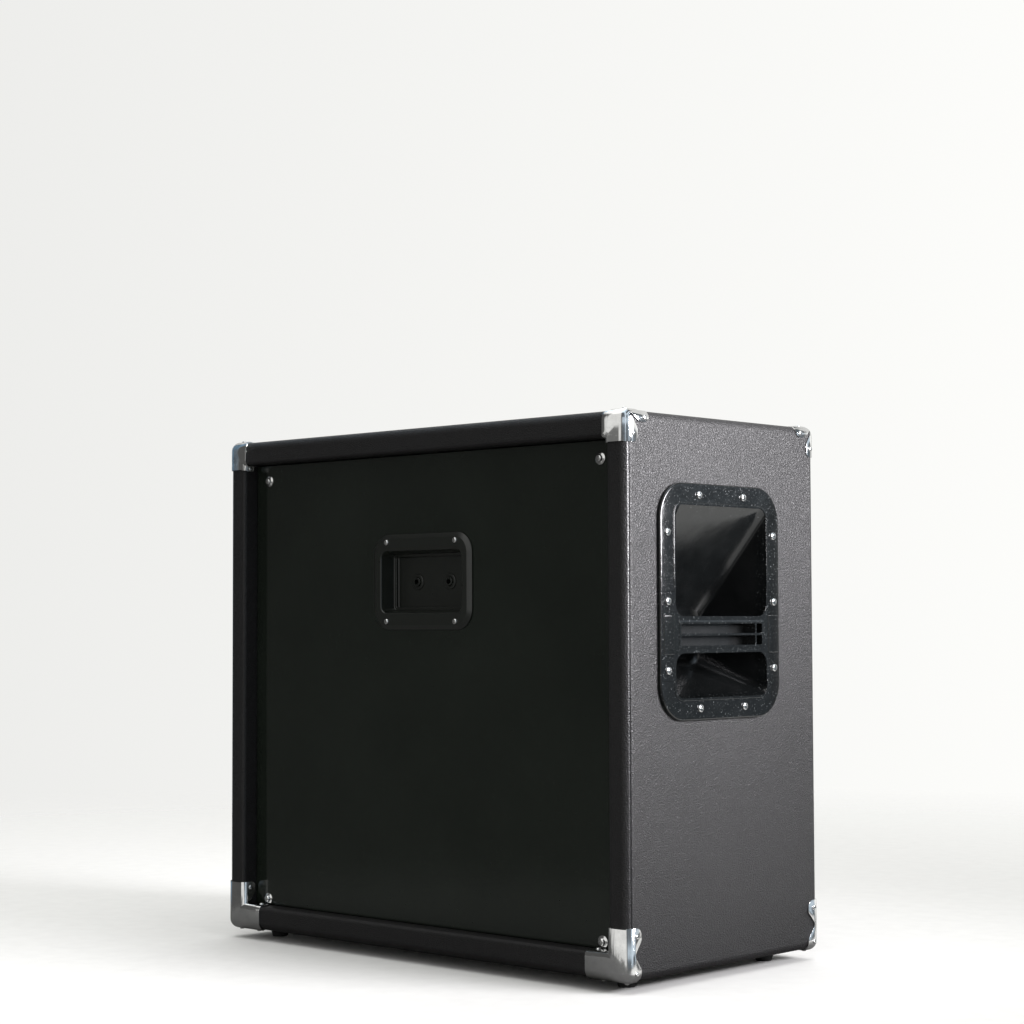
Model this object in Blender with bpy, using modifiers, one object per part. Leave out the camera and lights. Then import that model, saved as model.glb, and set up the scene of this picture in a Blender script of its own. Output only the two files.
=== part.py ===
# Empty speaker cabinet for four ten-inch drivers, seen in the photograph from behind.
#
# Metres, +Z up. The front (grille) faces -Y, the back panel faces +Y, and left and right are as
# seen from the front, so left is -X. The origin is on the floor, under the centre of the cabinet.

from math import cos, pi, radians, sin, tan

import bmesh
import bpy
from mathutils import Matrix, Vector

# Space left between neighbouring solids
GAP = 0.0003

# Cabinet outside, over the vinyl and without feet and metalwork
CABINET_WIDTH = 0.661
CABINET_DEPTH = 0.343
CABINET_HEIGHT = 0.610
OUTER_EDGE_RADIUS = 0.010
RIM_EDGE_RADIUS = 0.005
OUTER_EDGE_STEPS = 3
RIM_EDGE_STEPS = 2

# Boards and covering
BOARD_THICKNESS = 0.026
VINYL_THICKNESS = 0.0012
REBATE_DEPTH = 0.012
VINYL_TURN_IN_BACK = 0.030
VINYL_TURN_IN_FRONT = 0.024

# Back panel and what it seats on
BACK_RECESS = 0.0205
BACK_PANEL_THICKNESS = 0.012
BACK_PANEL_EDGE_GAP = 0.0006
BACK_PANEL_CHAMFER = 0.0008
SEAL_THICKNESS = 0.002
SEAL_WIDTH = 0.012
BACK_BATTEN_DEPTH = 0.020
BACK_BATTEN_WIDTH = 0.028
PANEL_SCREW_FROM_SIDE = 0.054
PANEL_SCREW_FROM_TOP = 0.0495
PANEL_SCREW_FROM_BOTTOM = 0.037

# Baffle and grille
GRILLE_RECESS = 0.010
GRILLE_CLOTH_THICKNESS = 0.001
GRILLE_EDGE_GAP = 0.001
GRILLE_FRAME_THICKNESS = 0.010
GRILLE_STRIP_WIDTH = 0.034
FASTENER_STRIP_THICKNESS = 0.003
FASTENER_STRIP_LENGTH = 0.300
FASTENER_STRIP_WIDTH = 0.016
BAFFLE_THICKNESS = 0.018
BAFFLE_EDGE_GAP = 0.0015
FRONT_BATTEN_SIZE = 0.020
BAFFLE_SCREW_INSET = 0.009
BAFFLE_SCREW_REACH = 0.240
DRIVER_CUTOUT_RADIUS = 0.116
DRIVER_CUTOUT_SIDES = 40
DRIVER_BOLT_CIRCLE_RADIUS = 0.123
DRIVER_SPACING_X = 0.276
DRIVER_SPACING_Z = 0.266
BRACE_SIZE = 0.045
BRACE_EDGE_RADIUS = 0.004

# Jack dish on the back panel, its centre above the cabinet's bottom
DISH_CENTRE_HEIGHT = 0.430
DISH_FLANGE_WIDTH = 0.163
DISH_FLANGE_HEIGHT = 0.113
DISH_FLANGE_CORNER = 0.024
DISH_FLANGE_THICKNESS = 0.0045
DISH_FLANGE_EDGE = 0.0015
DISH_FLANGE_SLOPE = 0.005
DISH_WELL_WIDTH = 0.1335
DISH_WELL_HEIGHT = 0.0725
DISH_WELL_CORNER = 0.008
DISH_WELL_DEPTH = 0.022
DISH_LIP_RADIUS = 0.0015
DISH_STEP_HEIGHT = 0.004
DISH_STEP_WIDTH = 0.0025
DISH_DRAFT = 0.003
DISH_WALL = 0.0025
DISH_SCREW_SPACING_X = 0.1144
DISH_SCREW_SPACING_Z = 0.0941

# Jack sockets
JACK_SPACING = 0.0537
JACK_BORE_RADIUS = 0.0033
JACK_BUSHING_RADIUS = 0.0055
JACK_BUSHING_OUT = 0.0065
JACK_BUSHING_EDGE = 0.0006
JACK_BODY_WIDTH = 0.021
JACK_BODY_HEIGHT = 0.024
JACK_BODY_DEPTH = 0.028
JACK_BORE_DEPTH = 0.030
JACK_NUT_RADIUS = 0.0095
JACK_NUT_THICKNESS = 0.0042
JACK_SIDES = 12
LUG_WIDTH = 0.006
LUG_THICKNESS = 0.0008
LUG_LENGTH = 0.010
LUG_SET_IN = 0.001
LUG_SPACING = 0.012

# Bar handles: flange, opening and cup, and the bar let into the flange
HANDLE_FROM_BACK = 0.158
HANDLE_CENTRE_HEIGHT = 0.4042
HANDLE_FLANGE_WIDTH = 0.215
HANDLE_FLANGE_HEIGHT = 0.261
HANDLE_FLANGE_CORNER = 0.040
HANDLE_FLANGE_THICKNESS = 0.0045
HANDLE_FLANGE_EDGE = 0.0022
HANDLE_FLANGE_BEVEL = 0.002
HANDLE_OPENING_WIDTH = 0.164
HANDLE_OPENING_HEIGHT = 0.212
HANDLE_OPENING_CORNER = 0.012
HANDLE_LIP = 0.002
HANDLE_DEPTH = 0.085
HANDLE_FLOOR_WIDTH = 0.130
HANDLE_FLOOR_HEIGHT = 0.062
HANDLE_FLOOR_DROP = 0.042
HANDLE_FLOOR_CORNER = 0.020
HANDLE_FLOOR_FILLET = 0.008
HANDLE_WALL = 0.0025
HANDLE_CUTOUT_CLEARANCE = 0.0015
EAR_TOP = 0.0105
EAR_BOTTOM = -0.0865
EAR_THICKNESS = 0.0025
EAR_SIDE_INSET = 0.0028
BAR_TOP = -0.0163
BAR_BOTTOM = -0.0568
BAR_DEPTH = 0.025
BAR_END_CLEARANCE = 0.0055
BAR_EDGE_RADIUS = 0.007
BAR_CORNER_FILLET = 0.014
BAR_POCKET_LENGTH = 0.146
BAR_POCKET_HEIGHT = 0.024
BAR_POCKET_DEPTH = 0.018
BAR_RIB = 0.0025
BAR_WEB_FROM_END = 0.0115
HANDLE_SCREW_COLUMN = 0.0955
HANDLE_SCREW_COLUMN_STEP = 0.0753
HANDLE_SCREW_ROW = 0.040
HANDLE_SCREW_ROW_HEIGHT = 0.1175

# Corner protectors, measured from the cabinet's corner
CORNER_SHEET = 0.0014
CORNER_WRAP = 0.0065
TOP_LEG_LENGTH = 0.0345
TOP_LOBE_REACH = 0.0172
TOP_LOBE_LENGTH = 0.0367
TOP_LOBE_DROP = 0.0127
OVER_LOBE_REACH = 0.0260
TOP_TAB_REACH_BACK = 0.0140
BOTTOM_LEG_HEIGHT = 0.0565
BOTTOM_LEG_LENGTH = 0.061
BOTTOM_TAB_REACH_BACK = 0.0180
TAB_REACH_FRONT = 0.0075
SIDE_LOBE_REACH = 0.0186
FRONT_LOBE_REACH = 0.0217
LOBE_WAIST = 0.0077
LOBE_LOW = 0.0088
LOBE_HIGH = 0.0487
UNDER_LOBE_NEAR = 0.0130
UNDER_LOBE_FAR = 0.0458
UNDER_LOBE_LENGTH = 0.0545

# Feet
FOOT_HEIGHT = 0.013
FOOT_TOP_RADIUS = 0.012
FOOT_TIP_RADIUS = 0.0096
FOOT_TIP_BEVEL = 0.0010
FOOT_RECESS_RADIUS = 0.0058
FOOT_RECESS_DEPTH = 0.006
FOOT_INSET_SIDE = 0.044
FOOT_INSET_BACK = 0.048
FOOT_SIDES = 16

# Screws: head radius, head height, shank radius, straight length, length to the point, sides
CORNER_SCREW = (0.0027, 0.0014, 0.0012, 0.0, 0.0105, 6)
HANDLE_SCREW = (0.0043, 0.0022, 0.0018, 0.0160, 0.0200, 6)
PANEL_SCREW = (0.0042, 0.0024, 0.0020, 0.0240, 0.0280, 10)
DISH_SCREW = (0.0034, 0.0020, 0.0016, 0.0120, 0.0150, 8)
BAFFLE_SCREW = (0.0040, 0.0020, 0.0018, 0.0300, 0.0340, 6)
FOOT_SCREW = (0.0048, 0.0022, 0.0020, 0.0200, 0.0240, 8)
SCREW_SINK = 0.0002
CUP_WASHER_RADIUS = 0.0070
CUP_WASHER_HEIGHT = 0.0016
TEE_NUT_FLANGE_RADIUS = 0.0062
TEE_NUT_FLANGE_THICKNESS = 0.0015
TEE_NUT_BORE_RADIUS = 0.0022
TEE_NUT_SIDES = 6

# Places that follow from the sizes above
SKIN = VINYL_THICKNESS + GAP
RIM = BOARD_THICKNESS + 2 * SKIN
HALF_WIDTH = CABINET_WIDTH / 2
HALF_DEPTH = CABINET_DEPTH / 2
BOTTOM = FOOT_HEIGHT
TOP = BOTTOM + CABINET_HEIGHT
MIDDLE = (BOTTOM + TOP) / 2
HALF_OPENING = HALF_WIDTH - RIM
HALF_OPENING_HEIGHT = CABINET_HEIGHT / 2 - RIM
BOARD_INSIDE = HALF_OPENING + SKIN
BOARD_INSIDE_HEIGHT = HALF_OPENING_HEIGHT + SKIN

BACK_PANEL_FACE = HALF_DEPTH - BACK_RECESS
BACK_PANEL_INSIDE = BACK_PANEL_FACE - BACK_PANEL_THICKNESS
SEAL_BACK = BACK_PANEL_INSIDE - GAP
BACK_BATTEN_BACK = SEAL_BACK - SEAL_THICKNESS - GAP

GRILLE_FACE = -HALF_DEPTH + GRILLE_RECESS
GRILLE_FRAME_FACE = GRILLE_FACE + GRILLE_CLOTH_THICKNESS + GAP
FASTENER_FACE = GRILLE_FRAME_FACE + GRILLE_FRAME_THICKNESS + GAP
BAFFLE_FACE = FASTENER_FACE + FASTENER_STRIP_THICKNESS + GAP
BAFFLE_INSIDE = BAFFLE_FACE + BAFFLE_THICKNESS
FRONT_BATTEN_FACE = BAFFLE_INSIDE + GAP

HANDLE_PLACE_Y = HALF_DEPTH - HANDLE_FROM_BACK
HANDLE_PLACE_Z = BOTTOM + HANDLE_CENTRE_HEIGHT
DISH_PLACE_Z = BOTTOM + DISH_CENTRE_HEIGHT

parts = None
cutters = None


def start_scene():
    """Empty the scene and make one collection for the cabinet and one for its cutters."""
    global parts, cutters
    for old in list(bpy.data.objects):
        bpy.data.objects.remove(old)
    parts = bpy.data.collections.new("speaker_cabinet")
    cutters = bpy.data.collections.new("cutters")
    bpy.context.scene.collection.children.link(parts)
    bpy.context.scene.collection.children.link(cutters)


def finish(name, colour, roughness, metallic=0.0):
    """A Principled material, made once for each finish."""
    material = bpy.data.materials.get(name) or bpy.data.materials.new(name)
    material.use_nodes = True
    shader = material.node_tree.nodes["Principled BSDF"]
    shader.inputs["Base Color"].default_value = (*colour, 1.0)
    shader.inputs["Roughness"].default_value = roughness
    shader.inputs["Metallic"].default_value = metallic
    material.diffuse_color = (*colour, 1.0)
    return material


def plywood():
    return finish("plywood", (0.52, 0.37, 0.22), 0.7)


def vinyl():
    return finish("black_vinyl", (0.030, 0.028, 0.031), 0.5)


def black_paint():
    return finish("black_paint", (0.016, 0.018, 0.017), 0.45)


def black_plastic():
    return finish("black_plastic", (0.012, 0.013, 0.015), 0.3)


def nickel():
    return finish("nickel_plate", (0.66, 0.67, 0.68), 0.25, 1.0)


def rubber():
    return finish("black_rubber", (0.02, 0.02, 0.02), 0.8)


def grille_black():
    return finish("black_cloth", (0.015, 0.015, 0.016), 0.9)


def foam():
    return finish("black_foam", (0.03, 0.03, 0.03), 0.95)


def mesh_of(build, name, turn_out=True):
    """Turn a bmesh into a mesh; turn_out makes the faces of a single solid point out."""
    if turn_out:
        bmesh.ops.recalc_face_normals(build, faces=build.faces)
        if build.calc_volume(signed=True) < 0:
            bmesh.ops.reverse_faces(build, faces=build.faces)
    mesh = bpy.data.meshes.new(name)
    build.to_mesh(mesh)
    build.free()
    return mesh


def add_part(name, mesh, material, smooth=True):
    """Put a finished mesh in the cabinet's collection as a named part."""
    part = bpy.data.objects.new(name, mesh)
    mesh.materials.clear()
    mesh.materials.append(material)
    if smooth:
        mesh.shade_smooth()
        mesh.set_sharp_from_angle(angle=radians(32))
    parts.objects.link(part)
    return part


def add_cutter(name, mesh):
    """Put a mesh among the cutters, where it is drawn as wire and isn't a piece of the cabinet."""
    cutter = bpy.data.objects.new(name, mesh)
    cutter.hide_render = True
    cutter.display_type = "WIRE"
    cutters.objects.link(cutter)
    return cutter


def boolean(part, cutter, operation="DIFFERENCE"):
    modifier = part.modifiers.new(operation.lower() + "_" + cutter.name, "BOOLEAN")
    modifier.operation = operation
    modifier.object = cutter
    return part


def evaluated(holder):
    """The mesh that an object's modifiers make; the object itself is removed."""
    bpy.context.view_layer.update()
    seen = holder.evaluated_get(bpy.context.evaluated_depsgraph_get())
    mesh = bpy.data.meshes.new_from_object(seen)
    bpy.data.objects.remove(holder)
    return mesh


def combined(first, second, operation):
    """The mesh left by one Boolean between two meshes."""
    holder = add_cutter("first", first)
    other = add_cutter("second", second)
    boolean(holder, other, operation)
    mesh = evaluated(holder)
    bpy.data.objects.remove(other)
    return mesh


def joined(meshes, name):
    """Several separate meshes as one mesh of separate solids."""
    build = bmesh.new()
    for mesh in meshes:
        build.from_mesh(mesh)
    return mesh_of(build, name, turn_out=False)


def box(low, high, name="box"):
    """A box between two corners."""
    build = bmesh.new()
    size = Vector(high) - Vector(low)
    centre = (Vector(high) + Vector(low)) / 2
    matrix = Matrix.Translation(centre) @ Matrix.Diagonal((*size, 1.0))
    bmesh.ops.create_cube(build, size=1.0, matrix=matrix)
    return mesh_of(build, name)


def bevelled_box(low, high, radius, steps, along=None, name="box"):
    """A box with rounded edges: all of them, or only those that run along one axis."""
    build = bmesh.new()
    build.from_mesh(box(low, high))
    edges = build.edges[:]
    if along is not None:
        edges = [edge for edge in edges if abs((edge.verts[1].co - edge.verts[0].co)[along]) > 1e-6]
    bmesh.ops.bevel(build, geom=edges, offset=radius, segments=steps, profile=0.5, affect="EDGES")
    return mesh_of(build, name)


def rounded_outline(corners, steps=3):
    """Points round a flat outline; each corner is (x, y, radius)."""
    points = []
    count = len(corners)
    for index, (x, y, radius) in enumerate(corners):
        here = Vector((x, y))
        if radius <= 0:
            points.append(here)
            continue
        before = (Vector(corners[index - 1][:2]) - here).normalized()
        after = (Vector(corners[(index + 1) % count][:2]) - here).normalized()
        half = before.angle(after) / 2
        reach = radius / tan(half)
        centre = here + (before + after).normalized() * radius / sin(half)
        start = here + before * reach - centre
        turn = start.angle_signed(here + after * reach - centre)
        for step in range(steps + 1):
            angle = -turn * step / steps
            spun = Vector((start.x * cos(angle) - start.y * sin(angle),
                           start.x * sin(angle) + start.y * cos(angle)))
            points.append(centre + spun)
    return points


def rectangle(width, height, radius, centre=(0.0, 0.0)):
    """The four corners of a rounded rectangle, for rounded_outline."""
    x, y = centre
    return [(x - width / 2, y - height / 2, radius), (x + width / 2, y - height / 2, radius),
            (x + width / 2, y + height / 2, radius), (x - width / 2, y + height / 2, radius)]


# How a flat outline (across, up, out) stands in the world for each direction it is extruded in
TOWARDS = {
    "x": Matrix(((0, 0, 1, 0), (1, 0, 0, 0), (0, 1, 0, 0), (0, 0, 0, 1))),
    "y": Matrix(((1, 0, 0, 0), (0, 0, 1, 0), (0, 1, 0, 0), (0, 0, 0, 1))),
    "z": Matrix.Identity(4),
}


def prism(points, axis, low, high, name="prism"):
    """A flat outline made solid along an axis; its points are in the other two axes, in order."""
    curve = bpy.data.curves.new(name, "CURVE")
    curve.dimensions = "2D"
    curve.fill_mode = "BOTH"
    curve.extrude = (high - low) / 2
    spline = curve.splines.new("POLY")
    spline.points.add(len(points) - 1)
    for place, point in zip(spline.points, points):
        place.co = (point[0], point[1], 0.0, 1.0)
    spline.use_cyclic_u = True
    holder = bpy.data.objects.new(name, curve)
    cutters.objects.link(holder)
    mesh = evaluated(holder)
    bpy.data.curves.remove(curve)
    build = bmesh.new()
    build.from_mesh(mesh)
    bmesh.ops.remove_doubles(build, verts=build.verts, dist=1e-6)
    build.transform(TOWARDS[axis] @ Matrix.Translation((0, 0, (high + low) / 2)))
    return mesh_of(build, name)


def turned(profile, steps, name="turned", closed=False):
    """A profile of (radius, height) points turned round +Z, listed down its outer side."""
    mesh = bpy.data.meshes.new(name)
    edges = [(index, index + 1) for index in range(len(profile) - 1)]
    if closed:
        edges.append((len(profile) - 1, 0))
    mesh.from_pydata([(radius, 0.0, height) for radius, height in profile], edges, [])
    holder = add_cutter(name, mesh)
    screw = holder.modifiers.new("turn", "SCREW")
    screw.steps = steps
    screw.render_steps = steps
    screw.use_merge_vertices = True
    screw.merge_threshold = 0.00001
    build = bmesh.new()
    build.from_mesh(evaluated(holder))
    bmesh.ops.remove_doubles(build, verts=build.verts, dist=1e-6)
    return mesh_of(build, name)


def loft(rings, name="loft"):
    """Rings of the same number of points joined one to the next, with both ends closed."""
    build = bmesh.new()
    loops = [[build.verts.new(point) for point in ring] for ring in rings]
    count = len(loops[0])
    for lower, upper in zip(loops, loops[1:]):
        for index in range(count):
            after = (index + 1) % count
            build.faces.new((lower[index], lower[after], upper[after], upper[index]))
    build.faces.new(loops[0])
    build.faces.new(loops[-1])
    return mesh_of(build, name)


def ring(width, height, radius, out, rise=0.0):
    """A rounded rectangle as points (across, up, out), for loft."""
    corners = rectangle(width, height, radius, (0.0, rise))
    return [(point.x, point.y, out) for point in rounded_outline(corners, steps=5)]


def facing(place, outward):
    """The matrix that stands a piece on a face: its +Z points out of the face, its Y stays up."""
    out = Vector(outward).normalized()
    up = Vector((0, 0, 1)) if abs(out.z) < 0.5 else Vector((0, 1, 0))
    across = up.cross(out)
    turn = Matrix((across, up, out)).transposed().to_4x4()
    return Matrix.Translation(place) @ turn


def moved_copy(mesh, place):
    """A copy of a mesh, put in its place."""
    copy = mesh.copy()
    copy.transform(place)
    return copy


def placed(mesh, places, name):
    """Copies of one mesh at several places, as one mesh of separate solids."""
    build = bmesh.new()
    for place in places:
        copy = moved_copy(mesh, place)
        build.from_mesh(copy)
        bpy.data.meshes.remove(copy)
    return mesh_of(build, name, turn_out=False)


def screw_shape(sizes):
    """A domed wood screw that stands with the underside of its head at height 0."""
    head_radius, head_height, shank_radius, straight, length, sides = sizes
    profile = [(0.0, head_height), (head_radius * 0.72, head_height * 0.78), (head_radius, 0.0),
               (shank_radius, 0.0)]
    if straight > 0:
        profile.append((shank_radius, -straight))
    return turned(profile + [(0.0, -length)], sides, "screw")


def screw_hole_shape(sizes):
    """The hole that a screw's shank fits with a gap all round, on the shank's own axis."""
    head_height, shank_radius, straight, length, sides = sizes[1:]
    radius = shank_radius + GAP / cos(pi / sides)
    point = straight + (length - straight) * radius / shank_radius
    profile = [(0.0, head_height), (radius, head_height), (radius, -straight), (0.0, -point)]
    return turned(profile, sides, "hole")


def screw_holes_for(name, sizes, spots):
    """One cutter for the holes of several screws; a spot is (seat, outward)."""
    places = [facing(Vector(seat), outward) for seat, outward in spots]
    return add_cutter(name, placed(screw_hole_shape(sizes), places, name))


def add_screw(name, sizes, spot, material):
    """A screw as a part of its own, its head just clear of the face that it holds."""
    seat, outward = spot
    mesh = screw_shape(sizes)
    mesh.transform(facing(Vector(seat) + Vector(outward) * GAP, outward))
    return add_part(name, mesh, material)


def join_screws(part, sizes, spots):
    """Screws that are one solid with the piece that they hold, their heads sunk a little into it."""
    places = [facing(Vector(seat) - Vector(outward) * SCREW_SINK, outward) for seat, outward in spots]
    name = part.name + "_screws"
    return boolean(part, add_cutter(name, placed(screw_shape(sizes), places, name)), "UNION")


def envelope(grow):
    """The covered cabinet as one solid, a box open from front to back with every edge rounded.

    Each face is moved out by grow, so that two envelopes leave an even sheet between them.
    """
    half = Vector((HALF_WIDTH + grow, HALF_DEPTH + grow, CABINET_HEIGHT / 2 + grow))
    centre = Vector((0, 0, MIDDLE))
    outside = bevelled_box(centre - half, centre + half, OUTER_EDGE_RADIUS + grow, OUTER_EDGE_STEPS)
    radius = RIM_EDGE_RADIUS + grow
    stations = [(HALF_DEPTH + grow + 0.01, radius)]
    for step in range(RIM_EDGE_STEPS + 1):
        angle = pi / 2 * step / RIM_EDGE_STEPS
        stations.append((HALF_DEPTH + grow - radius * (1 - cos(angle)), radius * (1 - sin(angle))))
    stations += [(-y, flare) for y, flare in reversed(stations)]
    rings = []
    for y, flare in stations:
        x = HALF_OPENING - grow + flare
        z = HALF_OPENING_HEIGHT - grow + flare
        rings.append([(x, y, MIDDLE - z), (x, y, MIDDLE + z), (-x, y, MIDDLE + z), (-x, y, MIDDLE - z)])
    return combined(outside, loft(rings, "opening"), "DIFFERENCE")


def stepped_outline(side, wide_to, wide_up, narrow_to, narrow_up):
    """An outline of a board's end with a rebate above and below; side turns it left or right."""
    lower = [(wide_to[1], -wide_up), (wide_to[0], -wide_up), (wide_to[0], -narrow_up),
             (narrow_to, -narrow_up)]
    upper = [(across, -up) for across, up in reversed(lower)]
    return [(side * across, MIDDLE + up) for across, up in lower + upper]


def make_boards(handle_cutout, screw_holes):
    """Two side boards with rebates, and the top and bottom boards set into them."""
    beyond = 0.05
    rebate = BOARD_INSIDE + REBATE_DEPTH
    for name, side in (("left_side_board", -1), ("right_side_board", 1)):
        outline = stepped_outline(side, (rebate + GAP / 2, HALF_WIDTH + beyond), CABINET_HEIGHT,
                                  BOARD_INSIDE - beyond, BOARD_INSIDE_HEIGHT - GAP / 2)
        region = add_cutter(name + "_region", prism(outline, "y", -CABINET_DEPTH, CABINET_DEPTH))
        board = add_part(name, envelope(-SKIN), plywood())
        boolean(board, region, "INTERSECT")
        boolean(board, handle_cutout)
        for holes in screw_holes:
            boolean(board, holes)
    wide = rebate - GAP / 2
    narrow = BOARD_INSIDE - GAP
    shoulder = BOARD_INSIDE_HEIGHT + GAP / 2
    for name, end in (("bottom_board", -1), ("top_board", 1)):
        levels = [MIDDLE + end * level for level in (CABINET_HEIGHT, shoulder, BOARD_INSIDE_HEIGHT - beyond)]
        outline = [(-wide, levels[0]), (-wide, levels[1]), (-narrow, levels[1]), (-narrow, levels[2]),
                   (narrow, levels[2]), (narrow, levels[1]), (wide, levels[1]), (wide, levels[0])]
        region = add_cutter(name + "_region", prism(outline, "y", -CABINET_DEPTH, CABINET_DEPTH))
        board = add_part(name, envelope(-SKIN), plywood())
        boolean(board, region, "INTERSECT")
        for holes in screw_holes:
            boolean(board, holes)


def make_covering(handle_cutout, screw_holes):
    """Vinyl over the outside and round the rims, turned in at the front and the back."""
    skin = combined(envelope(0.0), envelope(-VINYL_THICKNESS), "DIFFERENCE")
    reach = VINYL_THICKNESS + GAP / 2
    x = HALF_OPENING + reach
    z = HALF_OPENING_HEIGHT + reach
    bare = box((-x, -HALF_DEPTH + VINYL_TURN_IN_FRONT, MIDDLE - z),
               (x, HALF_DEPTH - VINYL_TURN_IN_BACK, MIDDLE + z))
    covering = add_part("vinyl_covering", skin, vinyl())
    boolean(covering, add_cutter("covering_bare_inside", bare))
    boolean(covering, handle_cutout)
    for holes in screw_holes:
        boolean(covering, holes)


def make_battens(screw_holes, baffle_holes):
    """Battens glued inside the boards, for the back panel and for the baffle."""
    rows = (("back_batten", BACK_BATTEN_BACK - BACK_BATTEN_DEPTH, BACK_BATTEN_DEPTH,
             BACK_BATTEN_WIDTH, screw_holes),
            ("front_batten", FRONT_BATTEN_FACE, FRONT_BATTEN_SIZE, FRONT_BATTEN_SIZE, baffle_holes))
    x = BOARD_INSIDE - GAP
    z = BOARD_INSIDE_HEIGHT - GAP
    for name, front, depth, width, holes in rows:
        back = front + depth
        upright = z - width - GAP
        spans = {"_top": ((-x, front, MIDDLE + z - width), (x, back, MIDDLE + z)),
                 "_bottom": ((-x, front, MIDDLE - z), (x, back, MIDDLE - z + width)),
                 "_left": ((-x, front, MIDDLE - upright), (-x + width, back, MIDDLE + upright)),
                 "_right": ((x - width, front, MIDDLE - upright), (x, back, MIDDLE + upright))}
        for where, (low, high) in spans.items():
            batten = add_part(name + where, box(low, high), plywood(), smooth=False)
            boolean(batten, holes)


def make_back_panel(panel_holes, dish_holes):
    """The recessed back panel, with its seal and the cut-out for the jack dish."""
    x = HALF_OPENING - BACK_PANEL_EDGE_GAP
    z = HALF_OPENING_HEIGHT - BACK_PANEL_EDGE_GAP
    body = bevelled_box((-x, BACK_PANEL_INSIDE, MIDDLE - z), (x, BACK_PANEL_FACE, MIDDLE + z),
                        BACK_PANEL_CHAMFER, 1)
    panel = add_part("back_panel", body, black_paint())
    clearance = 2 * (DISH_WALL + GAP)
    outline = rounded_outline(rectangle(DISH_WELL_WIDTH + clearance, DISH_WELL_HEIGHT + clearance,
                                        DISH_WELL_CORNER + clearance / 2, (0, DISH_PLACE_Z)))
    cutout = prism(outline, "y", BACK_PANEL_INSIDE - 0.01, BACK_PANEL_FACE + 0.01)
    boolean(panel, add_cutter("dish_cutout", cutout))
    boolean(panel, panel_holes)
    boolean(panel, dish_holes)
    x = BOARD_INSIDE - GAP
    z = BOARD_INSIDE_HEIGHT - GAP
    front = SEAL_BACK - SEAL_THICKNESS
    sheet = box((-x, front, MIDDLE - z), (x, SEAL_BACK, MIDDLE + z))
    seal = add_part("back_panel_seal", sheet, foam(), smooth=False)
    hollow = box((-x + SEAL_WIDTH, front - 0.01, MIDDLE - z + SEAL_WIDTH),
                 (x - SEAL_WIDTH, SEAL_BACK + 0.01, MIDDLE + z - SEAL_WIDTH))
    boolean(seal, add_cutter("seal_hollow", hollow))
    boolean(seal, panel_holes)


def four_corners(x, low, high):
    """Names and places of four things near the corners of a rectangle."""
    for height, word in ((low, "_bottom"), (high, "_top")):
        for side, hand in ((-1, "_left"), (1, "_right")):
            yield word + hand, side * x, height


def panel_screw_spots():
    """Where the four panel screws seat, on top of their cup washers."""
    face = BACK_PANEL_FACE + GAP + CUP_WASHER_HEIGHT
    across = HALF_WIDTH - PANEL_SCREW_FROM_SIDE
    low = BOTTOM + PANEL_SCREW_FROM_BOTTOM
    high = TOP - PANEL_SCREW_FROM_TOP
    return {where: ((x, face, height), (0, 1, 0)) for where, x, height in four_corners(across, low, high)}


def make_panel_screws():
    """Domed screws round the back panel, each on a dished washer."""
    inner = PANEL_SCREW[2] + 2 * GAP
    profile = [(inner, CUP_WASHER_HEIGHT), (PANEL_SCREW[0] + GAP, CUP_WASHER_HEIGHT),
               (CUP_WASHER_RADIUS, CUP_WASHER_HEIGHT * 0.3), (CUP_WASHER_RADIUS, 0.0), (inner, 0.0)]
    washer = turned(profile, PANEL_SCREW[5], "cup_washer", closed=True)
    for where, spot in panel_screw_spots().items():
        seat, outward = spot
        place = facing(Vector(seat) - Vector(outward) * CUP_WASHER_HEIGHT, outward)
        add_part("panel_washer" + where, moved_copy(washer, place), nickel())
        add_screw("panel_screw" + where, PANEL_SCREW, spot, nickel())


def driver_centres():
    across = DRIVER_SPACING_X / 2
    up = DRIVER_SPACING_Z / 2
    return [(side * across, MIDDLE + end * up) for side in (-1, 1) for end in (-1, 1)]


def tee_nut_places():
    """Four bolt holes on the diagonals of each driver's bolt circle, seen on the baffle's inside."""
    reach = DRIVER_BOLT_CIRCLE_RADIUS * cos(pi / 4)
    return [Vector((x + side * reach, BAFFLE_INSIDE, z + end * reach))
            for x, z in driver_centres() for side in (-1, 1) for end in (-1, 1)]


def baffle_screw_spots():
    """Screws near the baffle's edge, into the front battens."""
    x = HALF_OPENING - BAFFLE_SCREW_INSET
    z = HALF_OPENING_HEIGHT - BAFFLE_SCREW_INSET
    flat = [(side * BAFFLE_SCREW_REACH, MIDDLE + end * z) for end in (-1, 1) for side in (-1, 1)]
    flat += [(side * x, MIDDLE + end * BAFFLE_SCREW_REACH / 2) for end in (-1, 1) for side in (-1, 1)]
    return [((across, BAFFLE_FACE, up), (0, -1, 0)) for across, up in flat]


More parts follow.
